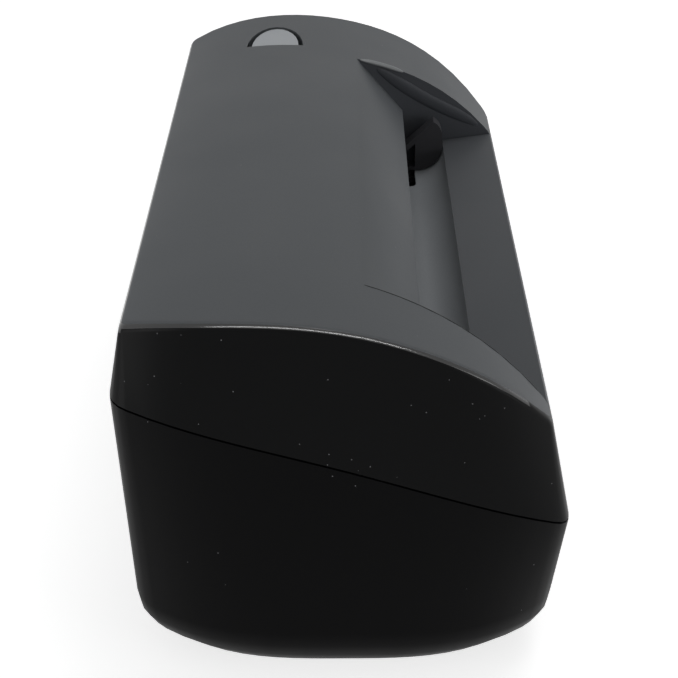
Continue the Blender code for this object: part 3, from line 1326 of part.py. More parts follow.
def make_screws():
    head_foot = BASE + WALL / 2 - SCREW_HEAD - GAP
    for i, (x, s) in enumerate(CASE_SCREWS):
        screw("case_screw_%d" % (i + 1), "Z", x, s, head_foot, SCREW_LENGTH)
    guide_foot = PATH + GUIDE_RISE + BED_THICKNESS / 2 - SCREW_HEAD - GAP
    for i, (x, s) in enumerate(GUIDE_SCREWS):
        screw("guide_screw_%d" % (i + 1), "Z", x, s, guide_foot, SCREW_LENGTH - WALL)
    tray_foot = EAR_TOP - EAR_THICKNESS - SCREW_HEAD - GAP
    for i, x in enumerate(TRAY_SCREW_PLACES):
        length = EAR_THICKNESS + TRAY_THICKNESS
        screw("tray_screw_%d" % (i + 1), "Z", x, TRAY_SCREW_FRONT, tray_foot, length)
    start = CHASSIS_RIGHT - MOTOR_EAR_THICKNESS - SCREW_HEAD - 2 * GAP
    for i, (s, z) in enumerate(MOTOR_EARS):
        screw("motor_screw_%d" % (i + 1), "X", start, s, z, MOTOR_EAR_THICKNESS + SIDE_THICKNESS)


def make_upper_guide():
    """The cover's side of the paper path: a plate, a funnel under the lip and two cheeks."""
    foot = PATH + GUIDE_RISE
    top = foot + BED_THICKNESS
    funnel_top = TOP_LEVEL - FUNNEL_DROP
    slant = BED_THICKNESS * 3 / 4
    outline = [(-BED_BACK, foot), (FUNNEL_BACK, foot), (FUNNEL_FRONT, funnel_top),
               (FUNNEL_FRONT - slant, funnel_top + slant / 2), (FUNNEL_BACK - slant, top), (-BED_BACK, top)]
    guide = side_prism("guide", [outline], -GUIDE_PLATE_LEFT, GUIDE_PLATE_RIGHT)
    back = EXIT_FRONT - CHEEK_RISE
    for x in (-PINCH_LEFT - GAP - CHEEK, PINCH_RIGHT + GAP):
        low = (x, back, foot + GAP)
        join(guide, box("cheek", low, (x + CHEEK, CHEEK_FRONT, foot + CHEEK_RISE)))
    half = PINCH_RADIUS + 2 * GAP
    for front in (FEED_FRONT, EXIT_FRONT):
        cut(guide, window("pinch_window", front, half, PINCH_LEFT + 2 * GAP, PINCH_RIGHT + 2 * GAP,
                          foot - OVERRUN, foot + 2 * CHEEK_RISE))
        for x in (-PINCH_LEFT - CHEEK, PINCH_RIGHT):
            cut(guide, rod("journal_hole", "X", x - CHEEK, front, PINCH_HEIGHT, PINCH_JOURNAL + GAP,
                           3 * CHEEK))
    cut(guide, window("platen_window", SENSOR_FRONT, PLATEN_HALF + GAP, PLATEN_LEFT + GAP,
                      PLATEN_RIGHT + GAP, foot - OVERRUN, top + OVERRUN))
    for x, s in GUIDE_SCREWS:
        cut(guide, rod("screw_hole", "Z", x, s, foot - OVERRUN, SCREW_RADIUS + GAP, 2 * OVERRUN))
        cut(guide, rod("head_seat", "Z", x, s, foot - OVERRUN, SCREW_HEAD_RADIUS + GAP,
                       OVERRUN + BED_THICKNESS / 2))
    return part(guide, "upper_guide", "black_plastic")


def make_platen():
    foot = PATH + PLATEN_RISE
    top = PATH + GUIDE_RISE + BED_THICKNESS + GAP
    bar = box("platen", (-PLATEN_LEFT, SENSOR_FRONT - PLATEN_HALF, foot),
              (PLATEN_RIGHT, SENSOR_FRONT + PLATEN_HALF, top + PLATEN_FLANGE_THICKNESS / 2))
    wide = PLATEN_HALF + PLATEN_FLANGE
    long = PLATEN_FLANGE / 2
    join(bar, box("flange", (-PLATEN_LEFT + long, SENSOR_FRONT - wide, top),
                  (PLATEN_RIGHT - long, SENSOR_FRONT + wide, top + PLATEN_FLANGE_THICKNESS)))
    return part(bar, "platen", "white_plastic")


def make_electrics():
    board = box("board", (-BOARD_HALF, -BOARD_BACK, BOARD_FOOT),
                (BOARD_HALF, BOARD_FRONT, BOARD_FOOT + BOARD_THICKNESS))
    part(board, "main_board", "board_green")
    top = BOARD_FOOT + BOARD_THICKNESS + GAP
    middle = (BOARD_FRONT - BOARD_BACK) / 2
    chip = box("chip", (CHIP_PLACE, middle - CHIP_SIZE / 2, top),
               (CHIP_PLACE + CHIP_SIZE, middle + CHIP_SIZE / 2, top + CHIP_HEIGHT))
    part(chip, "control_chip", "dark_plastic")
    half = SOCKET_WIDTH / 2
    mouth = SOCKET_RECESS - LOW_BACK
    socket = box("socket", (SOCKET_PLACE - half, mouth, SOCKET_FOOT),
                 (SOCKET_PLACE + half, mouth + SOCKET_DEPTH, SOCKET_FOOT + SOCKET_HEIGHT))
    wall = SOCKET_WALL
    inside = box("mouth", (SOCKET_PLACE - half + wall, mouth - OVERRUN, SOCKET_FOOT + wall),
                 (SOCKET_PLACE + half - wall, mouth + SOCKET_MOUTH_DEPTH, SOCKET_FOOT + SOCKET_HEIGHT - wall))
    part(cut(socket, inside), "usb_socket", "motor_metal")
    x0 = STEM_X - BUTTON_BOARD_LENGTH / 2
    s0 = BUTTON_FRONT - BUTTON_BOARD_DEPTH / 2
    board_top = BUTTON_BOARD_FOOT + BUTTON_BOARD_THICKNESS
    board = box("button_board", (x0, s0, BUTTON_BOARD_FOOT),
                (x0 + BUTTON_BOARD_LENGTH, s0 + BUTTON_BOARD_DEPTH, board_top))
    part(board, "button_board", "board_green")
    half = SWITCH_SIZE / 2
    switch = box("switch", (STEM_X - half, BUTTON_FRONT - half, SWITCH_FOOT),
                 (STEM_X + half, BUTTON_FRONT + half, SWITCH_FOOT + SWITCH_HEIGHT))
    cap_foot = SWITCH_TOP - 2 * SWITCH_CAP_HEIGHT
    join(switch, rod("switch_cap", "Z", STEM_X, BUTTON_FRONT, cap_foot, SWITCH_CAP_RADIUS,
                     2 * SWITCH_CAP_HEIGHT))
    part(switch, "button_switch", "dark_plastic")
    make_ribbon(top)


def make_ribbon(board_top):
    """A flat cable from the board up to the underside of the sensor."""
    t = RIBBON_THICKNESS
    back = SENSOR_FRONT - SENSOR_HALF / 2
    rise = SENSOR_FOOT - GAP
    foot = back - SENSOR_HALF * 2 / 3
    outline = [(back, rise), (back, rise - t), (foot + t, rise - t), (foot + t, board_top), (foot, board_top),
               (foot, rise)]
    ribbon = side_prism("ribbon", [outline], -RIBBON_PLACE - RIBBON_WIDTH, -RIBBON_PLACE)
    part(ribbon, "sensor_ribbon", "white_plastic")


def make_feet():
    names = ("foot_back_left", "foot_front_left", "foot_back_right", "foot_front_right")
    for name, (x, s) in zip(names, FOOT_PLACES):
        foot = rod(name, "Z", x, s, 0, FOOT_RADIUS - FOOT_STAND / 2, FOOT_THICKNESS, ROLLER_SIDES,
                   FOOT_RADIUS)
        part(foot, name, "rubber")


def make_hinge_pins():
    length = COVER_KNUCKLE_WIDTH + 2 * KNUCKLE_WIDTH
    for x, name in zip(HINGE_PLACES, ("hinge_pin_left", "hinge_pin_right")):
        pin = rod(name, "X", x - length / 2, HINGE_FRONT, HINGE_HEIGHT, HINGE_PIN_RADIUS, length)
        part(pin, name, "steel")


def joint_empty(name, x, s, z, pieces):
    """An empty on a joint's axis that carries the pieces of one moving body."""
    empty = bpy.data.objects.new(name, None)
    empty.location = (x, -s, z)
    PARTS.objects.link(empty)
    for piece in pieces:
        obj = bpy.data.objects[piece]
        obj.parent = empty
        obj.matrix_parent_inverse = Matrix.Translation(empty.location).inverted()
    return empty


def nest(child, parent):
    child.parent = parent
    child.matrix_parent_inverse = Matrix.Translation(parent.location).inverted()


def make_joints():
    cover_pieces = ["upper_cover", "feed_tray", "upper_guide", "platen", "tray_screw_1", "tray_screw_2"]
    cover_pieces += ["guide_screw_%d" % (i + 1) for i in range(len(GUIDE_SCREWS))]
    cover = joint_empty("cover_axis", 0, HINGE_FRONT, HINGE_HEIGHT, cover_pieces)
    carried = [
        joint_empty("feed_pinch_axis", 0, FEED_FRONT, PINCH_HEIGHT, ["feed_pinch_roller"]),
        joint_empty("exit_pinch_axis", 0, EXIT_FRONT, PINCH_HEIGHT, ["exit_pinch_roller"]),
        joint_empty("guide_axis", GUIDE_X, TRACK_FRONT, TROUGH, ["edge_guide"]),
        joint_empty("button_axis", STEM_X, BUTTON_FRONT, TOP_LEVEL, ["button_cap", "button_stem"]),
    ]
    for empty in carried:
        nest(empty, cover)
    joint_empty("feed_axis", 0, FEED_FRONT, ROLL_HEIGHT, ["feed_shaft", "feed_roll", "feed_gear"])
    joint_empty("exit_axis", 0, EXIT_FRONT, ROLL_HEIGHT, ["exit_shaft", "exit_roll", "exit_gear"])
    joint_empty("idler_axis", GEAR_LEFT, -IDLER_GEAR.y, IDLER_GEAR.z, ["idler_gear"])
    wheel = REDUCTION_LARGE
    joint_empty("reduction_axis", GEAR_LEFT, -wheel.y, wheel.z, ["reduction_gear"])
    joint_empty("motor_axis", GEAR_LEFT, -MOTOR_PINION.y, MOTOR_PINION.z, ["motor_shaft", "motor_pinion"])
    joint_empty("flag_axis", FLAG_PLACE, FLAG_FRONT, FLAG_AXLE_HEIGHT, ["paper_flag"])


# The parting line is the widest level, and its middle is a little in front of the middle plane
CENTRE_SHIFT = (SEAM_FRONT - SEAM_BACK) / 2


def centre_all():
    """Move everything so that the origin is in the middle of the depth."""
    bpy.context.view_layer.update()
    for obj in bpy.data.objects:
        if obj.parent is None:
            obj.location.y += CENTRE_SHIFT


def main():
    make_cover()
    make_tray()
    make_edge_guide()
    make_button()
    make_upper_guide()
    make_platen()
    make_pinch_roller("feed", FEED_FRONT)
    make_pinch_roller("exit", EXIT_FRONT)
    make_case()
    make_chassis()
    make_bed()
    make_flag()
    make_flag_sensor()
    make_sensor()
    make_drive_roller("feed", FEED_FRONT)
    make_drive_roller("exit", EXIT_FRONT)
    make_gears()
    make_motor()
    make_electrics()
    make_screws()
    make_feet()
    make_hinge_pins()
    make_joints()
    centre_all()


main()
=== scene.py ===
"""Looks of the sheet-fed photo scanner: smooth shells, materials, light and camera."""

import json
import math

import bmesh
import bpy
from mathutils import Matrix, Vector


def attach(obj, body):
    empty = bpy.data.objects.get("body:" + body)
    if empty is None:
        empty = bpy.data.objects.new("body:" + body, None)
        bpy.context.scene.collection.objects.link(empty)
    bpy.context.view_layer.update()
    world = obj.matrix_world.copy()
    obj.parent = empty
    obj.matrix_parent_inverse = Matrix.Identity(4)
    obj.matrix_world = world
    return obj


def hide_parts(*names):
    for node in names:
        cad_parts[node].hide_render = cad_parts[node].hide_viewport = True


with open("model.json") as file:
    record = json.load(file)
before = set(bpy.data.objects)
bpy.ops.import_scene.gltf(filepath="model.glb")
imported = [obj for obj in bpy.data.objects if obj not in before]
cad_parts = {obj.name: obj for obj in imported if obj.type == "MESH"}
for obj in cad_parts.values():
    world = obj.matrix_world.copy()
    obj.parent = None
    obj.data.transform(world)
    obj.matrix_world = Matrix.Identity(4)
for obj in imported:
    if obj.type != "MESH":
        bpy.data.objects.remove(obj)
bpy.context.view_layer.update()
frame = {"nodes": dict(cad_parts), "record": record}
NODES = frame["nodes"]

# Lengths are in metres. A front distance is measured from the middle plane towards the feed side,
# so a point at front distance s has y = SHIFT - s.
SHIFT = 0.0007

# The camera, fitted to the photograph's perspective. It looks along the length from the near end,
# turned a little to the left, down by its pitch, and rolled a little.
CAMERA_PLACE = (-0.28843, -0.00061, 0.19893)
CAMERA_TURN = math.radians(0.38671)
CAMERA_PITCH = math.radians(30.57843)
CAMERA_ROLL = math.radians(-0.49238)
CAMERA_LENS = 79.52
SENSOR_WIDTH = 36
CLIP_START = 0.01
CLIP_END = 20

# The top surface's side profile, one cubic curve with (front distance, height) points as knots.
# It leaves its back edge upwards and reaches its front edge downwards.
TOP_LEVEL = 0.0764
BACK_EDGE = -0.0375
BACK_DROP = 0.0033
BACK_REACH = 0.0114
BACK_SLOPE = math.radians(28.0)
FRONT_EDGE = 0.0374
FRONT_DROP = 0.0232
FRONT_REACH = 0.0395
FRONT_SLOPE = math.radians(53.7)
TOP_BACK = Vector((BACK_EDGE, TOP_LEVEL - BACK_DROP))
TOP_FRONT = Vector((FRONT_EDGE, TOP_LEVEL - FRONT_DROP))
TOP_LEAVE = BACK_REACH * Vector((math.cos(BACK_SLOPE), math.sin(BACK_SLOPE)))
TOP_ARRIVE = FRONT_REACH * Vector((math.cos(FRONT_SLOPE), -math.sin(FRONT_SLOPE)))
TOP_KNOTS = (TOP_BACK, TOP_BACK + TOP_LEAVE, TOP_FRONT - TOP_ARRIVE, TOP_FRONT)
HALVINGS = 30

# Zones of the cover. A facing is the least cosine between a face's normal and its zone's.
TOP_DEPTH = 0.00025
TOP_FACING = 0.9
TOP_EXACT_FACING = 0.99
BEND_FRONT = 0.0038
LIP = Vector((0.01485, 0.0618))
HOOD_DEPTH = 0.0001
HOOD_FACING = 0.98
BORE_FLAT = 0.0600
BORE_TIP = 0.0750
BORE_FRONT = -0.0157
BORE_HALF = 0.0070
BORE_DEPTH = 0.004
BAY_NEAR = -0.067
BAY_FAR = 0.058
BAY_BOTTOM = 0.044
WALL_FACING = 0.9
EDGE_ROUND = 0.0013
RIM_DEPTH = 1.1 * EDGE_ROUND
RIM_END = 0.0328
RIM_FACING = 0.62

# The zone of the tray that is its trough and scoop. The scoop's grey is painted lighter than the
# deck's: painted light standing in for the light that the hood keeps off it.
SCOOP_TOP = 0.0533
SCOOP_END = 0.0300
SCOOP_FACING = 0.1

# The bay's end walls: their distance from the middle at the bend, and how they splay from there
NEAR = -1
FAR = 1
WALL_PLACE = {NEAR: 0.0610, FAR: 0.0510}
WALL_SPLAY = 0.15

# Beads on the end walls. Each runs on from its start in front distance, at a depth under the top
# surface, and keeps a share of its thickness at its very ends.
RIDGE_START = 0.0085
RIDGE_LENGTH = 0.0250
RIDGE_DEPTH = 0.0014
RIDGE_BOW = 0.0030
RIDGE_HALF = 0.0016
RIDGE_PROUD = 0.0005
# The far wall's top-edge bead is a rounded edge whose pale grey is a painted highlight.
WALL_EDGE_START = 0.0045
WALL_EDGE_LENGTH = 0.0105
WALL_EDGE_DEPTH = 0.00012
WALL_EDGE_HALF = 0.00055
WALL_EDGE_PROUD = 0.0004
# The near wall's edge line is a thin black bead laid on the surface: a painted shadow line along
# that edge.
EDGE_LINE_START = 0.0040
EDGE_LINE_LENGTH = 0.0330
EDGE_LINE_HALF = 0.00013
EDGE_LINE_PROUD = 0.00004
BEAD_END = 0.03

# Welding of the smooth copies
WELD = 1e-6
SLIVER = 1e-7
FLAT_ANGLE = math.radians(0.15)
UNKNOWN_ANGLE = 3.2
NO_NORMAL = 1e-12

# Socket numbers of the node that mixes colours
MIX_LOW = 6
MIX_HIGH = 7
MIX_RESULT = 2

# Patterns of the materials
MOTTLE_SCALE = 45.0
MOTTLE_RANGE = (0.7, 1.3)
GRAIN_RISE = 0.00004
ROUGH_RANGE = (0.3, 0.7)
ROUGH_SPREAD = 0.08
SPECK_CELL = 0.0016
SPECK_RADIUS = 0.00011
SPECK_COLOUR = (0.22, 0.22, 0.23, 1)

# Floor, surroundings and lamps
PLAIN_WHITE = (1, 1, 1, 1)
FLOOR_COLOUR = (0.82, 0.82, 0.82, 1)
FLOOR_REACH = 6
FLOOR_SINK = 0.00005
FLOOR_LIFT = 0.72
WORLD_LIGHT = 0.26
LAMPS = (
    # name, place, target, width, height, power, whether it lights matt surfaces
    ("key", (0.20, -0.25, 1.06), (0, 0, 0.04), 0.50, 0.60, 2.4, True),
    ("strip", (-0.785, -0.04, 0.91), (-0.078, 0, 0.07), 1.30, 0.05, 9.5, False),
    ("left", (-0.50, 0.90, 0.20), (0, 0, 0.03), 0.50, 0.35, 1.9, True),
    ("right", (-0.50, -0.90, 0.20), (0, 0, 0.03), 0.50, 0.35, 1.9, True),
)


def add_object(name, data):
    obj = bpy.data.objects.new(name, data)
    bpy.context.scene.collection.objects.link(obj)
    return obj


def make_camera():
    data = bpy.data.cameras.new("camera")
    data.lens = CAMERA_LENS
    data.sensor_width = SENSOR_WIDTH
    data.clip_start = CLIP_START
    data.clip_end = CLIP_END
    camera = add_object("camera", data)
    turn = Matrix.Rotation(CAMERA_TURN - math.pi / 2, 4, "Z")
    pitch = Matrix.Rotation(math.pi / 2 - CAMERA_PITCH, 4, "X")
    roll = Matrix.Rotation(CAMERA_ROLL, 4, "Z")
    camera.matrix_world = Matrix.Translation(CAMERA_PLACE) @ turn @ pitch @ roll
    bpy.context.scene.camera = camera


class Nodes:
    """A short way to build a node tree. A value is a constant or another node's output."""

    def __init__(self, tree):
        self.tree = tree

    def feed(self, node, inputs):
        """Sets or links a node's inputs, which are given by name or number."""
        for key, value in inputs.items():
            if isinstance(value, bpy.types.NodeSocket):
                self.tree.links.new(value, node.inputs[key])
            else:
                node.inputs[key].default_value = value

    def add(self, kind, inputs=None, **settings):
        node = self.tree.nodes.new(kind)
        for key, value in settings.items():
            setattr(node, key, value)
        self.feed(node, inputs or {})
        return node

    def place(self):
        return self.add("ShaderNodeTexCoord").outputs["Object"]

    def noise(self, place, **inputs):
        return self.add("ShaderNodeTexNoise", {"Vector": place, **inputs}).outputs["Fac"]

    def maths(self, operation, a, b):
        return self.add("ShaderNodeMath", {0: a, 1: b}, operation=operation).outputs[0]

    def map_range(self, value, source=(0, 1), target=(0, 1)):
        limits = {"From Min": source[0], "From Max": source[1],
                  "To Min": target[0], "To Max": target[1]}
        return self.add("ShaderNodeMapRange", {"Value": value, **limits}).outputs["Result"]

    def mix(self, share, low, high):
        """A colour between two others."""
        inputs = {"Factor": share, MIX_LOW: low, MIX_HIGH: high}
        return self.add("ShaderNodeMix", inputs, data_type="RGBA").outputs[MIX_RESULT]

    def seen(self):
        """1 for rays of the camera, of reflections and through glass, and 0 for lighting ones."""
        path = self.add("ShaderNodeLightPath").outputs
        direct = self.maths("MAXIMUM", path["Is Camera Ray"], path["Is Glossy Ray"])
        return self.maths("MAXIMUM", direct, path["Is Transmission Ray"])


def new_material(name):
    """A new material with its shader and the builder of its node tree."""
    made = bpy.data.materials.new(name)
    made.use_nodes = True
    return made, made.node_tree.nodes["Principled BSDF"], Nodes(made.node_tree)


def dusted(n, place, colour, share):
    """The colour with pale specks in a share of the cells of a fine Voronoi pattern."""
    cells = n.add("ShaderNodeTexVoronoi", {"Vector": place, "Scale": 1 / SPECK_CELL})
    parts = n.add("ShaderNodeSeparateColor", {"Color": cells.outputs["Color"]})
    chosen = n.maths("LESS_THAN", parts.outputs["Red"], share)
    inside = n.maths("LESS_THAN", cells.outputs["Distance"], SPECK_RADIUS / SPECK_CELL)
    return n.mix(n.maths("MULTIPLY", chosen, inside), colour, SPECK_COLOUR)


def plastic(name, colour, roughness, specular, grain, grain_size=0.00035, mottle=0.06,
            metallic=0.0, dust=0.0):
    """A moulded or metal surface: mottled base colour, fine grain and a share of dust specks."""
    made, shader, n = new_material(name)
    place = n.place()
    broad = n.noise(place, Scale=MOTTLE_SCALE, Detail=3.0)
    fine = n.noise(place, Scale=1 / grain_size, Detail=2.0, Roughness=0.6)
    dark = [c * (1 - mottle) for c in colour] + [1]
    light = [c * (1 + mottle) for c in colour] + [1]
    tint = n.mix(n.map_range(n.maths("ADD", broad, fine), MOTTLE_RANGE), dark, light)
    if dust:
        tint = dusted(n, place, tint, dust)
    smoothest = roughness * (1 - ROUGH_SPREAD)
    roughest = roughness * (1 + ROUGH_SPREAD)
    bump = n.add("ShaderNodeBump", {"Height": fine, "Strength": grain, "Distance": GRAIN_RISE})
    n.feed(shader, {
        "Base Color": tint,
        "Roughness": n.map_range(broad, ROUGH_RANGE, (smoothest, roughest)),
        "Normal": bump.outputs["Normal"],
        "Metallic": metallic,
        "Specular IOR Level": specular,
    })
    return made


def glass(name):
    made, shader, n = new_material(name)
    smear = n.noise(n.place(), Scale=60.0)
    n.feed(shader, {
        "Base Color": (0.80, 0.86, 0.85, 1),
        "Roughness": n.map_range(smear, target=(0.02, 0.07)),
        "Alpha": 0.35,
    })
    return made


TOP_GREY = plastic("top_grey", (0.088, 0.0945, 0.101), roughness=0.55, specular=0.20,
                   grain=0.35, mottle=0.05, dust=0.03)
# A pale grey for the bead on the far wall's top edge: a painted highlight. The bead's rounded
# shape also catches real light.
PAINTED_GLINT_GREY = plastic("painted_glint_grey", (0.20, 0.21, 0.215), roughness=0.35, specular=0.40,
                    grain=0.10, mottle=0.03)
# The far bay wall's grey is a darker copy of the top's grey: painted shade for the shadow that
# falls on that wall.
PAINTED_SHADE_WALL_GREY = plastic("wall_painted_shade", (0.056, 0.060, 0.068), roughness=0.55, specular=0.15,
                    grain=0.35, mottle=0.08)
# The scoop's grey is painted lighter than the deck's grey of the same tray: painted light for the
# light that the hood keeps off the scoop.
SCOOP_PAINTED_LIGHT_GREY = plastic("tray_grey", (0.260, 0.274, 0.288), roughness=0.50, specular=0.20,
                    grain=0.30, mottle=0.05)
DECK_GREY = plastic("deck_grey", (0.078, 0.083, 0.090), roughness=0.55, specular=0.15,
                    grain=0.30, mottle=0.05)
END_BLACK = plastic("end_black", (0.0016, 0.0017, 0.0019), roughness=0.34, specular=0.07,
                    grain=0.12, mottle=0.10, dust=0.30)
CASE_BLACK = plastic("case_black", (0.0014, 0.0014, 0.0016), roughness=0.44, specular=0.045,
                     grain=0.15, mottle=0.10, dust=0.06)
RIM_BLACK = plastic("rim_black", (0.0040, 0.0042, 0.0046), roughness=0.20, specular=0.60,
                    grain=0.03, mottle=0.08)
INNER_BLACK = plastic("inner_black", (0.012, 0.012, 0.013), roughness=0.50, specular=0.20,
                      grain=0.20)
DARK = plastic("dark_plastic", (0.032, 0.032, 0.036), roughness=0.50, specular=0.25,
               grain=0.20)
BUTTON = plastic("button_grey", (0.34, 0.365, 0.39), roughness=0.32, specular=0.35,
                 grain=0.08, mottle=0.04)
WHITE = plastic("white_plastic", (0.74, 0.74, 0.71), roughness=0.45, specular=0.35,
                grain=0.10, mottle=0.02)
GEAR = plastic("gear_plastic", (0.66, 0.64, 0.58), roughness=0.40, specular=0.35,
               grain=0.08, mottle=0.03)
RUBBER = plastic("rubber", (0.018, 0.018, 0.019), roughness=0.80, specular=0.25,
                 grain=0.60, grain_size=0.0006, mottle=0.15)
STEEL = plastic("steel", (0.56, 0.56, 0.58), roughness=0.30, specular=0.50,
                grain=0.05, mottle=0.03, metallic=1.0)
NICKEL = plastic("nickel", (0.26, 0.26, 0.27), roughness=0.38, specular=0.50,
                 grain=0.08, mottle=0.04, metallic=1.0)
BRASS = plastic("brass", (0.62, 0.45, 0.20), roughness=0.32, specular=0.50,
                grain=0.05, mottle=0.04, metallic=1.0)
BOARD = plastic("board_green", (0.02, 0.12, 0.05), roughness=0.40, specular=0.40,
                grain=0.20, mottle=0.12)
GLASS = glass("sensor_glass")

BY_SLOT = {
    "top_grey": TOP_GREY,
    "tray_grey": SCOOP_PAINTED_LIGHT_GREY,
    "black_plastic": INNER_BLACK,
    "dark_plastic": DARK,
    "button_grey": BUTTON,
    "white_plastic": WHITE,
    "gear_white": GEAR,
    "rubber": RUBBER,
    "steel": STEEL,
    "brass": BRASS,
    "glass": GLASS,
    "board_green": BOARD,
    "motor_metal": NICKEL,
}

# Each face's finish is an index into its shell's materials
COVER_MATERIALS = (TOP_GREY, END_BLACK, RIM_BLACK, PAINTED_SHADE_WALL_GREY)
ON_GREY, ON_BLACK, ON_RIM, ON_PAINTED_SHADE_WALL = range(4)
TRAY_MATERIALS = (SCOOP_PAINTED_LIGHT_GREY, DECK_GREY)
ON_SCOOP, ON_DECK = range(2)


def dress_nodes():
    """Every CAD node gets the material of its slot."""
    slots = {s["node"]: s["material_slot"] for s in frame["record"]["subparts"]}
    for name, obj in NODES.items():
        made = BY_SLOT[slots[name]]
        if not obj.material_slots:
            obj.data.materials.append(made)
        for entry in obj.material_slots:
            entry.material = made


def top_at(s):
    """Height and upward normal of the top surface at a front distance."""
    low, high = 0.0, 1.0
    a, b, c, d = TOP_KNOTS
    for _ in range(HALVINGS):
        t = (low + high) / 2
        u = 1 - t
        p = a * u ** 3 + b * (3 * u * u * t) + c * (3 * u * t * t) + d * t ** 3
        if p.x < s:
            low = t
        else:
            high = t
    along = (b - a) * (u * u) + (c - b) * (2 * u * t) + (d - c) * (t * t)
    return p.y, Vector((0, along.y, along.x)).normalized()


def on_hood(centre, normal):
    """Whether a face lies on the flat hood, which runs from the bend down to the lip."""
    bend = Vector((BEND_FRONT, top_at(BEND_FRONT)[0]))
    run = LIP - bend
    across = Vector((-run.y, run.x)).normalized()
    off = Vector((SHIFT - centre.y, centre.z)) - bend
    facing = Vector((-normal.y, normal.z)).dot(across)
    return abs(off.dot(across)) < HOOD_DEPTH and facing > HOOD_FACING


def cover_finish(face):
    """Grey top, hood, near bay wall and button bore, round rim, far bay wall in painted shade,
    black ends.
    """
    centre = face.calc_center_median()
    normal = face.normal
    s = SHIFT - centre.y
    high, up = top_at(s)
    drop = high - centre.z
    facing = normal.dot(up)
    in_bore = (BORE_FLAT < centre.x < BORE_TIP and abs(s - BORE_FRONT) < BORE_HALF
               and drop < BORE_DEPTH)
    if (drop < TOP_DEPTH and facing > TOP_FACING) or on_hood(centre, normal) or in_bore:
        return ON_GREY
    inward = normal.x > WALL_FACING if centre.x < 0 else normal.x < -WALL_FACING
    in_bay = s > BEND_FRONT and BAY_NEAR < centre.x < BAY_FAR and centre.z > BAY_BOTTOM
    # The far bay wall gets the darker painted-shade grey, and the near bay wall gets the top's
    # own grey.
    if inward and in_bay:
        return ON_PAINTED_SHADE_WALL if centre.x > 0 else ON_GREY
    if s < RIM_END and drop < RIM_DEPTH and facing > RIM_FACING:
        return ON_RIM
    return ON_BLACK


def cover_top(face):
    """Whether a face of the cover lies on the top surface itself."""
    centre = face.calc_center_median()
    high, up = top_at(SHIFT - centre.y)
    return high - centre.z < TOP_DEPTH and face.normal.dot(up) > TOP_EXACT_FACING


# Scoop faces get the painted-light grey, and the rest get the deck's grey.
def tray_finish(face):
    centre = face.calc_center_median()
    in_scoop = centre.z < SCOOP_TOP and SHIFT - centre.y < SCOOP_END
    return ON_SCOOP if in_scoop and face.normal.z > SCOOP_FACING else ON_DECK


def corner_groups(shape):
    """Yields each vertex with each group of its faces that smooth edges join."""
    for vertex in shape.verts:
        left = list(vertex.link_faces)
        while left:
            stack = [left.pop()]
            group = []
            while stack:
                face = stack.pop()
                group.append(face)
                for edge in face.edges:
                    if vertex in edge.verts and edge.smooth:
                        for other in edge.link_faces:
                            if other in left:
                                left.remove(other)
                                stack.append(other)
            yield vertex, group


def smooth_normals(shape, on_top):
    """A normal for each corner: the top surface's own beside it, or else weighted by area."""
    found = {}
    for vertex, group in corner_groups(shape):
        if on_top and any(on_top(face) for face in group):
            normal = top_at(SHIFT - vertex.co.y)[1]
        else:
            normal = sum((face.normal * face.calc_area() for face in group), Vector())
        if normal.length < NO_NORMAL:
            normal = group[0].normal
        for face in group:
            found[face.index, vertex.index] = normal.normalized()
    return [found[face.index, loop.vert.index] for face in shape.faces for loop in face.loops]


def smooth_copy(node, body, angle=32, materials=(), finish=None, on_top=None):
    """A welded copy of a CAD node with smooth shading, which stands for the node."""
    shape = bmesh.new()
    shape.from_mesh(NODES[node].data)
    bmesh.ops.remove_doubles(shape, verts=shape.verts, dist=WELD)
    bmesh.ops.dissolve_degenerate(shape, edges=shape.edges, dist=SLIVER)
    bmesh.ops.dissolve_limit(shape, angle_limit=FLAT_ANGLE, verts=shape.verts, edges=shape.edges)
    shape.normal_update()
    shape.verts.index_update()
    shape.faces.index_update()
    for face in shape.faces:
        face.smooth = True
        face.material_index = finish(face) if finish else 0
    sharp = math.radians(angle)
    for edge in shape.edges:
        edge.smooth = len(edge.link_faces) == 2 and edge.calc_face_angle(UNKNOWN_ANGLE) < sharp
    normals = smooth_normals(shape, on_top)
    mesh = bpy.data.meshes.new(node + "_shell")
    shape.to_mesh(mesh)
    shape.free()
    mesh.normals_split_custom_set(normals)
    obj = add_object(node + "_shell", mesh)
    for made in materials or [NODES[node].material_slots[0].material]:
        mesh.materials.append(made)
    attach(obj, body)
    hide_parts(node)


def wall_line(side, start, length, steps, depth=0.0, bow=0.0):
    """Points along an end wall of the bay, at a depth under the top surface that bows down."""
    points = []
    for i in range(steps + 1):
        s = start + length * i / steps
        drop = depth + bow * math.sin(math.pi * i / steps)
        x = side * (WALL_PLACE[side] + WALL_SPLAY * (s - BEND_FRONT))
        points.append(Vector((x, SHIFT - s, top_at(s)[0] - drop)))
    return points


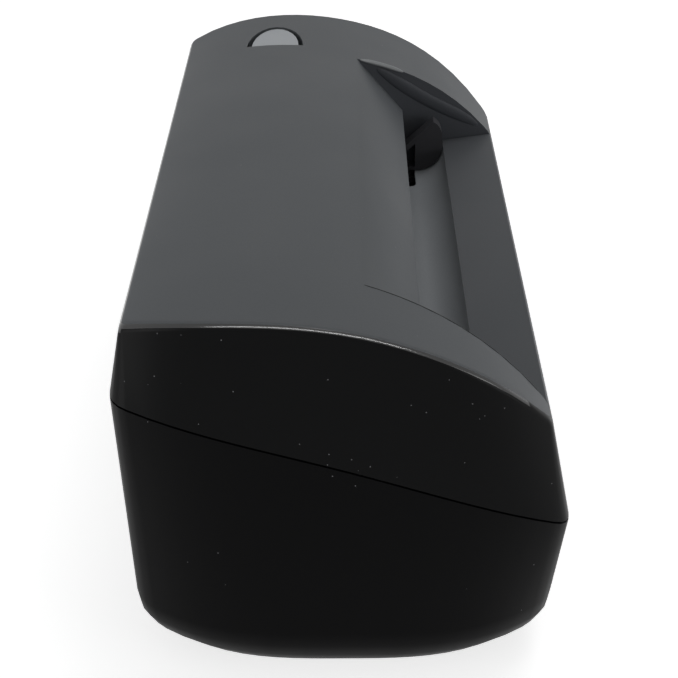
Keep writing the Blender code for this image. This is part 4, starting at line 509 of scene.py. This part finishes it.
def sweep(name, path, out, made, half, proud, taper, rings=40, sides=10):
    """A bead along a path of points, half its width to each side and proud of the surface.

    out gives the surface's normal at a point. Each end thins out over a share of the path.
    """
    shape = bmesh.new()
    turns = [2 * math.pi * k / sides for k in range(sides)]
    spans = len(path) - 1
    rows = []
    for i in range(rings + 1):
        t = i / rings
        where = min(int(t * spans), spans - 1)
        point = path[where].lerp(path[where + 1], t * spans - where)
        along = (path[where + 1] - path[where]).normalized()
        up = out(point)
        up = (up - along * up.dot(along)).normalized()
        across = along.cross(up)
        ease = min(1.0, t / taper, (1 - t) / taper)
        size = max(BEAD_END, math.sqrt(1 - (1 - ease) ** 2))
        row = [point + across * (half * size * math.cos(a)) + up * (proud * size * math.sin(a))
               for a in turns]
        rows.append([shape.verts.new(p) for p in row])
    for low, high in zip(rows, rows[1:]):
        for k in range(sides):
            after = (k + 1) % sides
            shape.faces.new((low[k], low[after], high[after], high[k]))
    shape.faces.new(rows[0])
    shape.faces.new(rows[-1])
    bmesh.ops.recalc_face_normals(shape, faces=shape.faces)
    for face in shape.faces:
        face.smooth = len(face.verts) == 4
    mesh = bpy.data.meshes.new(name)
    shape.to_mesh(mesh)
    shape.free()
    mesh.materials.append(made)
    obj = add_object(name, mesh)
    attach(obj, "cover")


def make_bay_details():
    """The far wall's low ridge in the painted-shade grey, a bead on the far wall's top edge whose
    pale grey is a painted highlight, and a thin black bead along the near wall's top edge that is
    a painted shadow line.
    """
    # The ridge is drawn in the far wall's painted-shade grey.
    ridge = wall_line(FAR, RIDGE_START, RIDGE_LENGTH, steps=24, depth=RIDGE_DEPTH, bow=RIDGE_BOW)
    sweep("wall_ridge", ridge, lambda p: Vector((-1, 0, 0)), PAINTED_SHADE_WALL_GREY, RIDGE_HALF, RIDGE_PROUD,
          taper=0.35, rings=60, sides=16)
    # The top-edge bead is coloured pale grey as a painted highlight.
    edge = wall_line(FAR, WALL_EDGE_START, WALL_EDGE_LENGTH, steps=12, depth=WALL_EDGE_DEPTH)
    sweep("wall_painted_glint", edge, lambda p: Vector((-0.7, 0, 0.7)), PAINTED_GLINT_GREY, WALL_EDGE_HALF,
          WALL_EDGE_PROUD, taper=0.3)
    # A thin black bead along the near wall's top edge, as a painted shadow line.
    line = wall_line(NEAR, EDGE_LINE_START, EDGE_LINE_LENGTH, steps=24)
    sweep("painted_shadow_line", line, lambda p: top_at(SHIFT - p.y)[1], END_BLACK, EDGE_LINE_HALF,
          EDGE_LINE_PROUD, taper=0.04)


def stage():
    """A plain pale floor a hair under the feet, lifted where it is seen but not as a light."""
    mesh = bpy.data.meshes.new("floor")
    reach = FLOOR_REACH
    corners = [(-reach, -reach, 0), (reach, -reach, 0), (reach, reach, 0), (-reach, reach, 0)]
    mesh.from_pydata(corners, [], [(0, 1, 2, 3)])
    floor = add_object("floor", mesh)
    floor.location.z = -FLOOR_SINK
    made, shader, n = new_material("floor")
    n.feed(shader, {
        "Base Color": FLOOR_COLOUR,
        "Roughness": 0.9,
        "Specular IOR Level": 0.0,
        "Emission Color": PLAIN_WHITE,
        "Emission Strength": n.maths("MULTIPLY", n.seen(), FLOOR_LIFT),
    })
    mesh.materials.append(made)


def make_world():
    """White surroundings where they are seen, and a softer white as a light."""
    world = bpy.data.worlds.new("world")
    bpy.context.scene.world = world
    world.use_nodes = True
    world.node_tree.nodes.clear()
    n = Nodes(world.node_tree)
    seen = n.seen()
    lit = n.add("ShaderNodeBackground", {"Color": PLAIN_WHITE, "Strength": WORLD_LIGHT})
    white = n.add("ShaderNodeBackground", {"Color": PLAIN_WHITE, "Strength": 1.0})
    mix = n.add("ShaderNodeMixShader", {0: seen, 1: lit.outputs[0], 2: white.outputs[0]})
    n.add("ShaderNodeOutputWorld", {"Surface": mix.outputs[0]})


def make_lights():
    for name, place, target, width, height, power, lights_matt in LAMPS:
        data = bpy.data.lights.new(name, "AREA")
        data.shape = "RECTANGLE"
        data.size = width
        data.size_y = height
        data.energy = power
        lamp = add_object(name, data)
        lamp.location = place
        lamp.rotation_mode = "QUATERNION"
        lamp.rotation_quaternion = (Vector(target) - Vector(place)).to_track_quat("-Z", "Y")
        lamp.visible_diffuse = lights_matt


make_camera()
dress_nodes()
smooth_copy("upper_cover", "cover", materials=COVER_MATERIALS, finish=cover_finish,
            on_top=cover_top, angle=50)
smooth_copy("lower_case", "case", materials=(CASE_BLACK,), angle=50)
smooth_copy("feed_tray", "cover", materials=TRAY_MATERIALS, finish=tray_finish)
make_bay_details()
smooth_copy("edge_guide", "side_guide")
smooth_copy("button_cap", "scan_button", angle=25)
stage()
make_world()
make_lights()
bpy.context.scene.view_settings.view_transform = "Standard"
